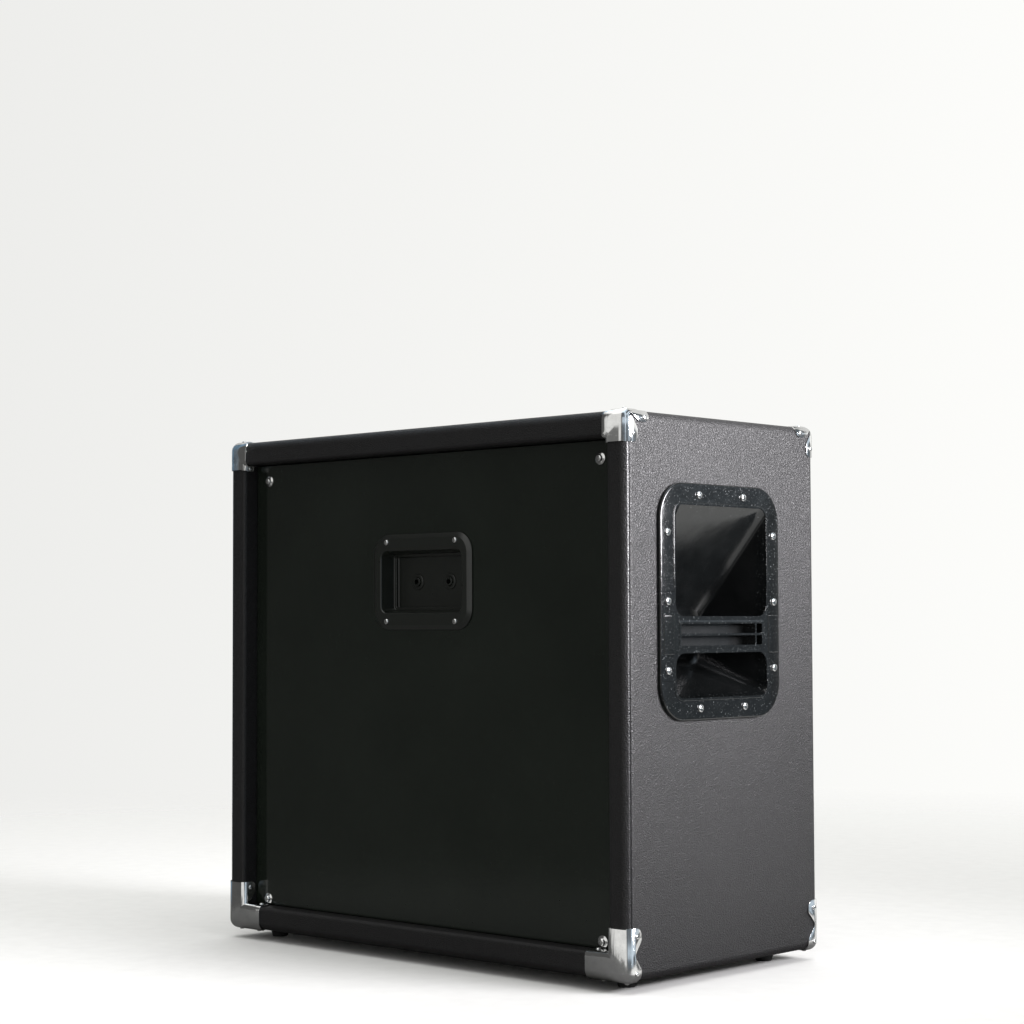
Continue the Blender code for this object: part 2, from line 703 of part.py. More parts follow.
def make_baffle():
    """The board that the drivers bolt to, with its tee nuts and screws, and the post behind it."""
    x = HALF_OPENING - BAFFLE_EDGE_GAP
    z = HALF_OPENING_HEIGHT - BAFFLE_EDGE_GAP
    board = box((-x, BAFFLE_FACE, MIDDLE - z), (x, BAFFLE_INSIDE, MIDDLE + z))
    baffle = add_part("baffle_board", board, black_paint())
    through = BAFFLE_THICKNESS
    radius = DRIVER_CUTOUT_RADIUS
    round_hole = turned([(0.0, through), (radius, through), (radius, -through), (0.0, -through)],
                        DRIVER_CUTOUT_SIDES)
    centre = (BAFFLE_FACE + BAFFLE_INSIDE) / 2
    places = [facing((across, centre, up), (0, 1, 0)) for across, up in driver_centres()]
    boolean(baffle, add_cutter("driver_cutouts", placed(round_hole, places, "driver_cutouts")))
    top = TEE_NUT_FLANGE_THICKNESS
    radius = TEE_NUT_FLANGE_RADIUS
    flange = turned([(0.0, top), (radius, top), (radius, -SCREW_SINK), (0.0, -SCREW_SINK)], TEE_NUT_SIDES)
    radius = TEE_NUT_BORE_RADIUS
    bolt_hole = turned([(0.0, 2 * top), (radius, 2 * top), (radius, -2 * through), (0.0, -2 * through)],
                       TEE_NUT_SIDES)
    places = [facing(place, (0, 1, 0)) for place in tee_nut_places()]
    boolean(baffle, add_cutter("tee_nut_flanges", placed(flange, places, "tee_nut_flanges")), "UNION")
    boolean(baffle, add_cutter("driver_bolt_holes", placed(bolt_hole, places, "driver_bolt_holes")))
    join_screws(baffle, BAFFLE_SCREW, baffle_screw_spots())
    half = BRACE_SIZE / 2
    post = bevelled_box((-half, BAFFLE_INSIDE + GAP, MIDDLE - half),
                        (half, BACK_PANEL_INSIDE - GAP, MIDDLE + half), BRACE_EDGE_RADIUS, 2, along=1)
    add_part("centre_brace", post, plywood())


def make_grille():
    """A frame of flat strips with cloth pulled over its front and edges, on hook-and-loop strips."""
    x = HALF_OPENING - GRILLE_EDGE_GAP
    z = HALF_OPENING_HEIGHT - GRILLE_EDGE_GAP
    back = GRILLE_FRAME_FACE + GRILLE_FRAME_THICKNESS
    wrap = GRILLE_CLOTH_THICKNESS + GAP
    thick = GRILLE_CLOTH_THICKNESS
    pulled = box((-x, GRILLE_FACE, MIDDLE - z), (x, back, MIDDLE + z))
    cloth = add_part("grille_cloth", pulled, grille_black(), smooth=False)
    inside = box((-x + thick, GRILLE_FACE + thick, MIDDLE - z + thick),
                 (x - thick, back + 0.01, MIDDLE + z - thick))
    boolean(cloth, add_cutter("grille_cloth_inside", inside))
    x -= wrap
    z -= wrap
    width = GRILLE_STRIP_WIDTH
    frame = add_part("grille_frame", box((-x, GRILLE_FRAME_FACE, MIDDLE - z), (x, back, MIDDLE + z)),
                     black_paint(), smooth=False)
    up = z - width
    windows = [box((low, GRILLE_FRAME_FACE - 0.01, MIDDLE - up), (high, back + 0.01, MIDDLE + up))
               for low, high in ((-x + width, -width / 2), (width / 2, x - width))]
    boolean(frame, add_cutter("grille_windows", joined(windows, "grille_windows")))
    half = FASTENER_STRIP_LENGTH / 2
    for end, where in ((-1, "bottom"), (1, "top")):
        up = MIDDLE + end * (z - width / 2)
        strip = box((-half, FASTENER_FACE, up - FASTENER_STRIP_WIDTH / 2),
                    (half, FASTENER_FACE + FASTENER_STRIP_THICKNESS, up + FASTENER_STRIP_WIDTH / 2))
        add_part("grille_fastener_strip_" + where, strip, grille_black(), smooth=False)


def dish_screw_spots():
    face = BACK_PANEL_FACE + GAP + DISH_FLANGE_THICKNESS
    half = DISH_SCREW_SPACING_Z / 2
    return {where: ((x, face, height), (0, 1, 0)) for where, x, height in
            four_corners(DISH_SCREW_SPACING_X / 2, DISH_PLACE_Z - half, DISH_PLACE_Z + half)}


def dish_shape():
    """A moulded dish: flange with a sloping edge, drafted walls, a step and a flat floor."""
    width, height, corner = DISH_WELL_WIDTH, DISH_WELL_HEIGHT, DISH_WELL_CORNER
    top = GAP + DISH_FLANGE_THICKNESS
    floor = top - DISH_FLANGE_THICKNESS - DISH_WELL_DEPTH
    step = floor + DISH_STEP_HEIGHT
    slope = 2 * DISH_FLANGE_SLOPE
    lip = 2 * DISH_LIP_RADIUS
    draft = 2 * DISH_DRAFT
    shelf = draft + 2 * DISH_STEP_WIDTH
    wall = 2 * DISH_WALL
    rings = [
        ring(width - shelf, height - shelf, corner, floor),
        ring(width - shelf, height - shelf, corner, step),
        ring(width - draft, height - draft, corner, step),
        ring(width, height, corner, top - DISH_LIP_RADIUS),
        ring(width + lip, height + lip, corner + DISH_LIP_RADIUS, top),
        ring(DISH_FLANGE_WIDTH - slope, DISH_FLANGE_HEIGHT - slope,
             DISH_FLANGE_CORNER - DISH_FLANGE_SLOPE, top),
        ring(DISH_FLANGE_WIDTH, DISH_FLANGE_HEIGHT, DISH_FLANGE_CORNER, GAP + DISH_FLANGE_EDGE),
        ring(DISH_FLANGE_WIDTH, DISH_FLANGE_HEIGHT, DISH_FLANGE_CORNER, GAP),
        ring(width + wall, height + wall, corner + DISH_WALL, GAP),
        ring(width - draft + wall, height - draft + wall, corner + DISH_WALL, floor - DISH_WALL),
    ]
    return loft(rings, "jack_dish")


def make_jack_dish(dish_holes):
    """The dish, and the two jack sockets held in its floor by ring nuts."""
    stand = facing((0, BACK_PANEL_FACE, DISH_PLACE_Z), (0, 1, 0))
    shape = dish_shape()
    shape.transform(stand)
    dish = add_part("jack_dish", shape, black_plastic())
    boolean(dish, dish_holes)
    for where, spot in dish_screw_spots().items():
        add_screw("dish_screw" + where, DISH_SCREW, spot, nickel())
    floor = BACK_PANEL_FACE + GAP - DISH_WELL_DEPTH
    under = floor - DISH_WALL - GAP
    reach = JACK_BUSHING_RADIUS + GAP / cos(pi / JACK_SIDES)
    hole = turned([(0.0, 0.01), (reach, 0.01), (reach, -0.01), (0.0, -0.01)], JACK_SIDES)
    spots = [(-JACK_SPACING / 2, "jack_socket_left"), (JACK_SPACING / 2, "jack_socket_right")]
    places = [facing((x, floor, DISH_PLACE_Z), (0, 1, 0)) for x, _ in spots]
    boolean(dish, add_cutter("jack_holes", placed(hole, places, "jack_holes")))
    for x, name in spots:
        half_width = JACK_BODY_WIDTH / 2
        half_height = JACK_BODY_HEIGHT / 2
        back = under - JACK_BODY_DEPTH
        body = bevelled_box((x - half_width, back, DISH_PLACE_Z - half_height),
                            (x + half_width, under, DISH_PLACE_Z + half_height), 0.0015, 1)
        front = floor + JACK_BUSHING_OUT
        tip = front - under
        radius = JACK_BUSHING_RADIUS
        bushing = turned([(0.0, tip), (radius - JACK_BUSHING_EDGE, tip), (radius, tip - JACK_BUSHING_EDGE),
                          (radius, -0.004), (0.0, -0.004)], JACK_SIDES)
        bushing.transform(facing((x, under, DISH_PLACE_Z), (0, 1, 0)))
        bore = turned([(0.0, 0.002), (JACK_BORE_RADIUS, 0.002), (JACK_BORE_RADIUS, -JACK_BORE_DEPTH),
                       (0.0, -JACK_BORE_DEPTH)], JACK_SIDES)
        bore.transform(facing((x, front, DISH_PLACE_Z), (0, 1, 0)))
        socket = add_part(name, combined(body, bushing, "UNION"), black_plastic())
        lugs = []
        for end in (-1, 1):
            up = DISH_PLACE_Z + end * LUG_SPACING / 2
            lugs.append(box((x - LUG_WIDTH / 2, back - LUG_LENGTH, up - LUG_THICKNESS / 2),
                            (x + LUG_WIDTH / 2, back + LUG_SET_IN, up + LUG_THICKNESS / 2)))
        boolean(socket, add_cutter(name + "_solder_lugs", joined(lugs, "solder_lugs")), "UNION")
        boolean(socket, add_cutter(name + "_bore", bore))
        nut = jack_nut_shape()
        nut.transform(facing((x, floor + GAP, DISH_PLACE_Z), (0, 1, 0)))
        add_part(name.replace("socket", "nut"), nut, black_plastic())


def jack_nut_shape():
    """A round ring nut that clears the socket's threaded bushing."""
    inner = JACK_BUSHING_RADIUS + GAP / cos(pi / JACK_SIDES)
    profile = [(inner, JACK_NUT_THICKNESS), (JACK_NUT_RADIUS - 0.001, JACK_NUT_THICKNESS),
               (JACK_NUT_RADIUS, JACK_NUT_THICKNESS - 0.001), (JACK_NUT_RADIUS, 0.0), (inner, 0.0)]
    return turned(profile, JACK_SIDES, "jack_nut", closed=True)


def handle_stand(side):
    """Stands a handle on the outside of a side board; side is -1 on the left and 1 on the right."""
    return facing((side * HALF_WIDTH, HANDLE_PLACE_Y, HANDLE_PLACE_Z), (side, 0, 0))


def ear_face():
    return GAP + HANDLE_FLANGE_THICKNESS + GAP


def handle_screw_points():
    """Ten places on the flange as (across, up, on_ear)."""
    points = [(side * HANDLE_SCREW_ROW, end * HANDLE_SCREW_ROW_HEIGHT, False)
              for end in (-1, 1) for side in (-1, 1)]
    for row in (-1, 0, 1):
        points += [(side * HANDLE_SCREW_COLUMN, row * HANDLE_SCREW_COLUMN_STEP, row < 1) for side in (-1, 1)]
    return points


def handle_screw_spots(side, ears):
    """The places in the world of the screws through the bar's ears, or of those beside them."""
    stand = handle_stand(side)
    out = ear_face() if ears else GAP + HANDLE_FLANGE_THICKNESS
    return [(stand @ Vector((across, up, out)), (side, 0, 0))
            for across, up, on_ear in handle_screw_points() if on_ear == ears]


def cup_shape():
    """A deep moulded cup: the roof slopes from the top of the opening to a low, flat floor."""
    top = GAP + HANDLE_FLANGE_THICKNESS
    lip_out = top - HANDLE_LIP
    floor = -HANDLE_DEPTH
    near_floor = floor + HANDLE_FLOOR_FILLET
    share = (lip_out - near_floor) / (lip_out - floor)
    wide = HANDLE_OPENING_WIDTH + (HANDLE_FLOOR_WIDTH - HANDLE_OPENING_WIDTH) * share
    high = HANDLE_OPENING_HEIGHT + (HANDLE_FLOOR_HEIGHT - HANDLE_OPENING_HEIGHT) * share
    drop = -HANDLE_FLOOR_DROP * share
    flat_wide = HANDLE_FLOOR_WIDTH - 2 * HANDLE_FLOOR_FILLET
    flat_high = HANDLE_FLOOR_HEIGHT - 2 * HANDLE_FLOOR_FILLET
    lip = 2 * HANDLE_LIP
    bevel = 2 * HANDLE_FLANGE_BEVEL
    wall = 2 * HANDLE_WALL
    corner = HANDLE_OPENING_CORNER
    rings = [
        ring(flat_wide, flat_high, HANDLE_FLOOR_CORNER - HANDLE_FLOOR_FILLET, floor, -HANDLE_FLOOR_DROP),
        ring(wide, high, HANDLE_FLOOR_CORNER, near_floor, drop),
        ring(HANDLE_OPENING_WIDTH, HANDLE_OPENING_HEIGHT, corner, lip_out),
        ring(HANDLE_OPENING_WIDTH + lip, HANDLE_OPENING_HEIGHT + lip, corner + HANDLE_LIP, top),
        ring(HANDLE_FLANGE_WIDTH - bevel, HANDLE_FLANGE_HEIGHT - bevel,
             HANDLE_FLANGE_CORNER - HANDLE_FLANGE_BEVEL, top),
        ring(HANDLE_FLANGE_WIDTH, HANDLE_FLANGE_HEIGHT, HANDLE_FLANGE_CORNER, GAP + HANDLE_FLANGE_EDGE),
        ring(HANDLE_FLANGE_WIDTH, HANDLE_FLANGE_HEIGHT, HANDLE_FLANGE_CORNER, GAP),
        ring(HANDLE_OPENING_WIDTH + wall, HANDLE_OPENING_HEIGHT + wall, corner + HANDLE_WALL, GAP),
        ring(wide + wall, high + wall, HANDLE_FLOOR_CORNER + HANDLE_WALL, near_floor, drop),
        ring(flat_wide + HANDLE_WALL, flat_high + HANDLE_WALL, HANDLE_FLOOR_CORNER - HANDLE_FLOOR_FILLET,
             floor - HANDLE_WALL, -HANDLE_FLOOR_DROP),
    ]
    return loft(rings, "handle_cup")


def ear_outline(grow):
    """An H-shaped outline: two ears on the flange and the bar between them, moved out by grow."""
    ear = HANDLE_FLANGE_WIDTH / 2 - EAR_SIDE_INSET + grow
    inner = HANDLE_OPENING_WIDTH / 2 - grow
    top, bottom = EAR_TOP + grow, EAR_BOTTOM - grow
    bar_top, bar_bottom = BAR_TOP + grow, BAR_BOTTOM - grow
    fillet = BAR_CORNER_FILLET
    return rounded_outline([
        (-ear, bottom, 0), (-inner, bottom, 0), (-inner, bar_bottom, fillet), (inner, bar_bottom, fillet),
        (inner, bottom, 0), (ear, bottom, 0), (ear, top, 0), (inner, top, 0), (inner, bar_top, fillet),
        (-inner, bar_top, fillet), (-inner, top, 0), (-ear, top, 0)])


def bar_shape():
    """The grip: a deep rounded bar with a ribbed pocket in front, and thin ears at both ends."""
    face = ear_face()
    ears = prism(ear_outline(0.0), "z", face - EAR_THICKNESS, face)
    reach = HANDLE_OPENING_WIDTH / 2 - BAR_END_CLEARANCE
    front = face + GAP
    body = bevelled_box((-reach, BAR_BOTTOM, front - BAR_DEPTH), (reach, BAR_TOP, front),
                        BAR_EDGE_RADIUS, 3, along=0)
    bar = combined(ears, body, "UNION")
    half = BAR_POCKET_LENGTH / 2
    centre = (BAR_TOP + BAR_BOTTOM) / 2
    web = half - BAR_WEB_FROM_END
    pockets = []
    for low, high in ((-half, web - BAR_RIB / 2), (web + BAR_RIB / 2, half)):
        for end in (-1, 1):
            near = centre + end * BAR_RIB / 2
            far = centre + end * BAR_POCKET_HEIGHT / 2
            pockets.append(box((low, min(near, far), front - BAR_POCKET_DEPTH),
                               (high, max(near, far), front + 0.01)))
    return combined(bar, joined(pockets, "pockets"), "DIFFERENCE")


def handle_cutout_shape():
    """The hole in each side that a handle's cup drops into."""
    clearance = 2 * (HANDLE_WALL + HANDLE_CUTOUT_CLEARANCE)
    corners = rectangle(HANDLE_OPENING_WIDTH + clearance, HANDLE_OPENING_HEIGHT + clearance,
                        HANDLE_OPENING_CORNER + clearance / 2, (HANDLE_PLACE_Y, HANDLE_PLACE_Z))
    outline = rounded_outline(corners)
    holes = [prism(outline, "x", side * HALF_WIDTH - 0.05, side * HALF_WIDTH + 0.05) for side in (-1, 1)]
    return joined(holes, "handle_cutouts")


def make_handles(ear_screw_holes):
    """A cup and a bar on each side, with their screws; both sides use the same mouldings."""
    cup_mesh = cup_shape()
    bar_mesh = bar_shape()
    recess_mesh = prism(ear_outline(GAP), "z", ear_face() - EAR_THICKNESS - GAP, 0.02)
    for side, word in ((-1, "left"), (1, "right")):
        stand = handle_stand(side)
        cup = add_part(word + "_handle_cup", moved_copy(cup_mesh, stand), black_plastic())
        boolean(cup, add_cutter(word + "_ear_recess", moved_copy(recess_mesh, stand)))
        boolean(cup, ear_screw_holes)
        join_screws(cup, HANDLE_SCREW, handle_screw_spots(side, ears=False))
        bar = add_part(word + "_handle_bar", moved_copy(bar_mesh, stand), black_plastic())
        join_screws(bar, HANDLE_SCREW, handle_screw_spots(side, ears=True))


def corner_frame(side, face, end):
    """Places (from side, from back or front, from top or bottom) at one corner of the cabinet."""
    origin = Vector((side * HALF_WIDTH, face * HALF_DEPTH, TOP if end > 0 else BOTTOM))
    return Matrix.Translation(origin) @ Matrix.Diagonal((-side, -face, -end, 1.0))


def corner_region(frame, end, lobe_reach, tab_reach):
    """The part of the sheet that one protector keeps, as a solid that the sheet is cut with."""
    edge = CORNER_WRAP
    inner = RIM + 0.004
    length = TOP_LEG_LENGTH if end > 0 else BOTTOM_LEG_HEIGHT
    # The rim's cap, the wrap round the upright edge, and the rounded corner itself
    solids = [box((-0.0060, -0.0062, -0.0064), (inner, 0.0030, length)),
              box((-0.0058, -0.0054, -0.0052), (0.0120, edge, length - 0.0004)),
              box((-0.0050, -0.0048, -0.0046), (edge + 0.0001, edge + 0.0002, edge + 0.0003))]
    if end > 0:
        lobe = TOP_LOBE_REACH
        along = TOP_LOBE_LENGTH
        drop = TOP_LOBE_DROP
        over = OVER_LOBE_REACH
        upright_lobe = [(-0.0045, 0.0040, 0), (edge, 0.0040, 0), (lobe, 0.0200, 0.008),
                        (lobe, length + 0.0005, 0.006), (-0.0045, length + 0.0005, 0)]
        level_lobe = [(0.0058, -0.0044, 0), (along, -0.0044, 0), (along, drop, 0.007),
                      (0.0200, drop, 0.004), (0.0078, 0.0030, 0)]
        over_lobe = [(-0.0043, -0.0042, 0), (over, -0.0042, 0), (over, over - 0.002, 0.010),
                     (-0.0043, over - 0.002, 0)]
        tab = [(-0.0047, RIM - 0.0035, 0), (tab_reach, RIM - 0.0035, 0),
               (tab_reach, length + 0.0030, 0.004), (-0.0047, length + 0.0002, 0)]
        solids += [prism(rounded_outline(upright_lobe), "x", -0.0056, 0.0040),
                   prism(rounded_outline(level_lobe), "x", -0.0055, 0.0041),
                   prism(rounded_outline(over_lobe), "z", -0.0053, 0.0042),
                   prism(rounded_outline(tab), "x", RIM - 0.0041, inner + 0.0005)]
    else:
        toe = BOTTOM_LEG_LENGTH - 0.0003
        side_lobes = two_lobes(lobe_reach, LOBE_LOW, LOBE_HIGH, length + 0.0010)
        under_lobes = [(along, reach) for reach, along in
                       two_lobes(SIDE_LOBE_REACH, UNDER_LOBE_NEAR, UNDER_LOBE_FAR, UNDER_LOBE_LENGTH)]
        tab = [(-0.0047, RIM - 0.0010, 0), (0.0050, RIM - 0.0010, 0), (tab_reach, LOBE_HIGH - 0.0047, 0.004),
               (tab_reach, length + 0.0005, 0.006), (-0.0047, length + 0.0005, 0)]
        toe_tab = [(RIM + 0.0060, -0.0049, 0), (toe, -0.0049, 0), (toe, tab_reach, 0.005),
                   (RIM + 0.0120, tab_reach, 0.005)]
        solids += [box((-0.0063, -0.0059, -0.0061), (BOTTOM_LEG_LENGTH, 0.0031, inner + 0.0002)),
                   box((-0.0051, -0.0043, -0.0057), (BOTTOM_LEG_LENGTH - 0.0006, edge + 0.0004, 0.0120)),
                   prism(side_lobes, "x", -0.0056, 0.0040),
                   prism(under_lobes, "z", -0.0053, 0.0042),
                   prism(rounded_outline(tab), "x", RIM - 0.0041, inner + 0.0005),
                   prism(rounded_outline(toe_tab), "z", RIM - 0.0043, inner + 0.0007)]
    region = solids[0]
    for solid in solids[1:]:
        region = combined(region, solid, "UNION")
    build = bmesh.new()
    build.from_mesh(region)
    build.transform(frame)
    return mesh_of(build, "corner_region")


def two_lobes(reach, first, second, length):
    """Two round lobes side by side along an edge, drawn in between them; (reach, along) points."""
    middle = (first + second) / 2
    return rounded_outline([
        (-0.0042, -0.0048, 0), (reach - 0.003, -0.0048, 0), (reach, first - 0.004, 0.004),
        (reach, first + 0.005, 0.006), (LOBE_WAIST, middle, 0.006), (reach, second - 0.005, 0.006),
        (reach, length, 0.008), (-0.0042, length, 0)])


def corner_screw_spots(frame, face, end):
    """Screws of one protector, at the sheet's outer face."""
    lift = GAP + CORNER_SHEET
    across = Vector((1, 0, 0))
    upward = Vector((0, 0, 1))
    if end > 0:
        spots = [((-lift, 0.0291, 0.0078), -across), ((-lift, 0.0097, 0.0254), -across),
                 ((0.013, 0.013, -lift), -upward)]
        if face > 0:
            spots.append(((RIM + lift, 0.0085, RIM + 0.0044), across))
    else:
        spots = [((-lift, 0.0110, LOBE_HIGH), -across), ((-lift, 0.0108, LOBE_LOW + 0.0004), -across),
                 ((UNDER_LOBE_NEAR, 0.0116, -lift), -upward), ((UNDER_LOBE_FAR, 0.012, -lift), -upward)]
        if face > 0:
            spots.append(((RIM + lift, 0.0102, 0.0500), across))
            spots.append(((0.052, 0.0102, RIM + lift), upward))
    turn = frame.to_3x3()
    return [(frame @ Vector(place), (turn @ outward).normalized()) for place, outward in spots]


def corner_names():
    """Each corner as (name, side, face, end)."""
    for end, height in ((1, "top"), (-1, "bottom")):
        for face, where in ((1, "back"), (-1, "front")):
            for side, hand in ((-1, "left"), (1, "right")):
                yield "corner_" + height + "_" + where + "_" + hand, side, face, end


def make_corners():
    """Eight pressed steel protectors with their screws, from a sheet that follows the cabinet."""
    sheet = combined(envelope(GAP + CORNER_SHEET), envelope(GAP), "DIFFERENCE")
    for name, side, face, end in corner_names():
        frame = corner_frame(side, face, end)
        back_reach = TOP_TAB_REACH_BACK if end > 0 else BOTTOM_TAB_REACH_BACK
        tab_reach = back_reach if face > 0 else TAB_REACH_FRONT
        lobe_reach = SIDE_LOBE_REACH if face > 0 else FRONT_LOBE_REACH
        region = add_cutter(name + "_region", corner_region(frame, end, lobe_reach, tab_reach))
        corner = add_part(name, sheet.copy(), nickel())
        boolean(corner, region, "INTERSECT")
        join_screws(corner, CORNER_SCREW, corner_screw_spots(frame, face, end))


def foot_centres():
    for face, where in ((1, "back"), (-1, "front")):
        for side, hand in ((-1, "left"), (1, "right")):
            across = side * (HALF_WIDTH - FOOT_INSET_SIDE)
            along = face * (HALF_DEPTH - FOOT_INSET_BACK)
            yield "foot_" + where + "_" + hand, Vector((across, along, 0))


def foot_screw_spots():
    """Where the feet's screws seat, up in the recess of each foot."""
    return [(place + Vector((0, 0, FOOT_RECESS_DEPTH)), (0, 0, -1)) for _, place in foot_centres()]


def make_feet():
    """Tapered rubber feet, each held by a washer-head screw up in its recess."""
    bore = FOOT_SCREW[2] + 2 * GAP
    top = FOOT_HEIGHT - GAP
    profile = [(bore, top), (FOOT_TOP_RADIUS, top), (FOOT_TIP_RADIUS, FOOT_TIP_BEVEL),
               (FOOT_TIP_RADIUS - FOOT_TIP_BEVEL, 0.0), (FOOT_RECESS_RADIUS, 0.0),
               (FOOT_RECESS_RADIUS, FOOT_RECESS_DEPTH), (bore, FOOT_RECESS_DEPTH)]
    foot = turned(profile, FOOT_SIDES, "foot", closed=True)
    for (name, place), spot in zip(foot_centres(), foot_screw_spots()):
        add_part(name, moved_copy(foot, Matrix.Translation(place)), rubber())
        add_screw(name.replace("foot", "foot_screw"), FOOT_SCREW, spot, nickel())


def make_cabinet():
    start_scene()
    corner_spots = []
    for _, side, face, end in corner_names():
        corner_spots += corner_screw_spots(corner_frame(side, face, end), face, end)
    ear_spots = handle_screw_spots(-1, ears=True) + handle_screw_spots(1, ears=True)
    flange_spots = handle_screw_spots(-1, ears=False) + handle_screw_spots(1, ears=False)
    corner_holes = screw_holes_for("corner_screw_holes", CORNER_SCREW, corner_spots)
    ear_holes = screw_holes_for("handle_ear_screw_holes", HANDLE_SCREW, ear_spots)
    flange_holes = screw_holes_for("handle_flange_screw_holes", HANDLE_SCREW, flange_spots)
    foot_holes = screw_holes_for("foot_screw_holes", FOOT_SCREW, foot_screw_spots())
    panel_holes = screw_holes_for("panel_screw_holes", PANEL_SCREW, panel_screw_spots().values())
    dish_holes = screw_holes_for("dish_screw_holes", DISH_SCREW, dish_screw_spots().values())
    baffle_holes = screw_holes_for("baffle_screw_holes", BAFFLE_SCREW, baffle_screw_spots())
    outside_holes = [corner_holes, ear_holes, flange_holes, foot_holes]
    handle_cutout = add_cutter("handle_cutouts", handle_cutout_shape())
    make_boards(handle_cutout, outside_holes)
    make_covering(handle_cutout, outside_holes)
    make_battens(panel_holes, baffle_holes)
    make_back_panel(panel_holes, dish_holes)
    make_panel_screws()
    make_baffle()
    make_grille()
    make_jack_dish(dish_holes)
    make_handles(ear_holes)
    make_corners()
    make_feet()


make_cabinet()
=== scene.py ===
# %% [markdown]
# # An empty loudspeaker cabinet, seen from behind
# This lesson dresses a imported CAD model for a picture. The CAD solids are the carpentry: boards,
# battens, baffle and back panel. What the eye rests on is modelled again here with more care: the
# vinyl, the pressed steel corners, the moulded handles, the jack dish and every screw.
# The model is loaded first, because every later size is read from it or agrees with it.

from math import pi, radians, tan

import bmesh
import bpy
from mathutils import Matrix, Vector


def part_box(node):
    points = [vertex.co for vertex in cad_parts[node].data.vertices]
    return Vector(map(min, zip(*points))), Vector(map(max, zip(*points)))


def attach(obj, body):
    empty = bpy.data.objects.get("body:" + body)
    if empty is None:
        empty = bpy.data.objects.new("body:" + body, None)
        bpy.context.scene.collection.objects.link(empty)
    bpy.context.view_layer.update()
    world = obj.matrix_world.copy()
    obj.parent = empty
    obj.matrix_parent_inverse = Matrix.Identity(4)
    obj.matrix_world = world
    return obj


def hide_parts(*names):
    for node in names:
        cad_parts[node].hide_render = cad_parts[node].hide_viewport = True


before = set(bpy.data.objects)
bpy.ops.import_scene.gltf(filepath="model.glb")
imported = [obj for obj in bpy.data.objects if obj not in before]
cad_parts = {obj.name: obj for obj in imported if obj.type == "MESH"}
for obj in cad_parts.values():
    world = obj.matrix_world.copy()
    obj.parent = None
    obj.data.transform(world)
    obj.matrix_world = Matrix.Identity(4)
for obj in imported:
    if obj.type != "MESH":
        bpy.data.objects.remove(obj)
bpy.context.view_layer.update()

# %% [markdown]
# ## Sizes
# Metres, +Z up, the back panel towards +Y and the grille towards -Y. The floor is at height 0.
# The cabinet stands on 13 mm feet, so its box starts a little above the floor. Left and right are
# as seen from the front, and most fittings come in pairs, so the two hands are listed once.

# %% The cabinet's own sizes
HALF_WIDTH = 0.3305
HALF_DEPTH = 0.1715
HALF_HEIGHT = 0.305
BOTTOM = 0.013
TOP = 0.623
MIDDLE = (BOTTOM + TOP) / 2
RIM = 0.029
OUTER_EDGE = 0.010
RIM_EDGE = 0.005
GAP = 0.0003
TINY = 1e-5
PANEL_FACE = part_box("back_panel")[1].y
HANDS = ((-1, "left"), (1, "right"))
print("back panel's face at y =", round(PANEL_FACE, 5))

# %% [markdown]
# ## Camera
# Four edges of the box and their vanishing points give the lens and the place of the camera: about
# a 77 mm lens on a full frame sensor, 2.7 m away, just above the middle of the cabinet.

# %% Camera at the photograph's angle
SENSOR = 36.0
FRAME_PIXELS = 1024
FOCAL_PIXELS = 2181.413
camera_data = bpy.data.cameras.new("photo_camera")
camera_data.sensor_width = SENSOR
camera_data.lens = FOCAL_PIXELS / FRAME_PIXELS * SENSOR
camera = bpy.data.objects.new("photo_camera", camera_data)
bpy.context.scene.collection.objects.link(camera)
to_right = Vector((-0.7285716, -0.6849613, -0.0033765))
upward = Vector((-0.0363081, 0.0336964, 0.9987724))
ahead = Vector((0.6840067, -0.7277998, 0.0494198))
turn = Matrix((to_right, upward, -ahead)).transposed().to_4x4()
camera.matrix_world = Matrix.Translation((-1.83234, 1.94772, 0.39750)) @ turn
bpy.context.scene.camera = camera
bpy.context.scene.view_settings.view_transform = "Standard"
print("lens", round(camera_data.lens, 2), "mm")

# %% [markdown]
# ## Maths for finishes
# A finish is a small web of nodes. Writing it as sums is easier to read than wiring it by hand, so
# an Amount is a number that changes over a surface, and each sum on it adds one Math node.
# Everything else that a finish needs comes from one method, node.

# %% Amounts
class Amount:
    """A socket of a finish that can be added, multiplied and compared."""

    def __init__(self, finish, socket):
        self.finish = finish
        self.socket = socket

    def maths(self, operation, *values):
        return self.finish.node("ShaderNodeMath", {"operation": operation}, dict(enumerate(values)))

    def __add__(self, other):
        return self.maths("ADD", self, other)

    __radd__ = __add__

    def __sub__(self, other):
        return self.maths("SUBTRACT", self, other)

    def __rsub__(self, other):
        return self.maths("SUBTRACT", other, self)

    def __mul__(self, other):
        return self.maths("MULTIPLY", self, other)

    __rmul__ = __mul__

    def __abs__(self):
        return self.maths("ABSOLUTE", self)

    def larger(self, other):
        return self.maths("MAXIMUM", self, other)

    def smaller(self, other):
        return self.maths("MINIMUM", self, other)

    def power(self, other):
        return self.maths("POWER", self, other)

    def sine(self):
        return self.maths("SINE", self)

    def between(self, low, high):
        """0 at low, 1 at high, and an even slope between them."""
        return self.finish.node("ShaderNodeMapRange", {}, {"Value": self, "From Min": low, "From Max": high})


print("sums on amounts are ready")

# %% [markdown]
# A Web is a tree of nodes that starts from a place on the piece, or from a direction for the world.
# A Finish is a web that ends in a material. What is the same all over the surface is set straight on
# the shader's own sockets, so that an export keeps it.

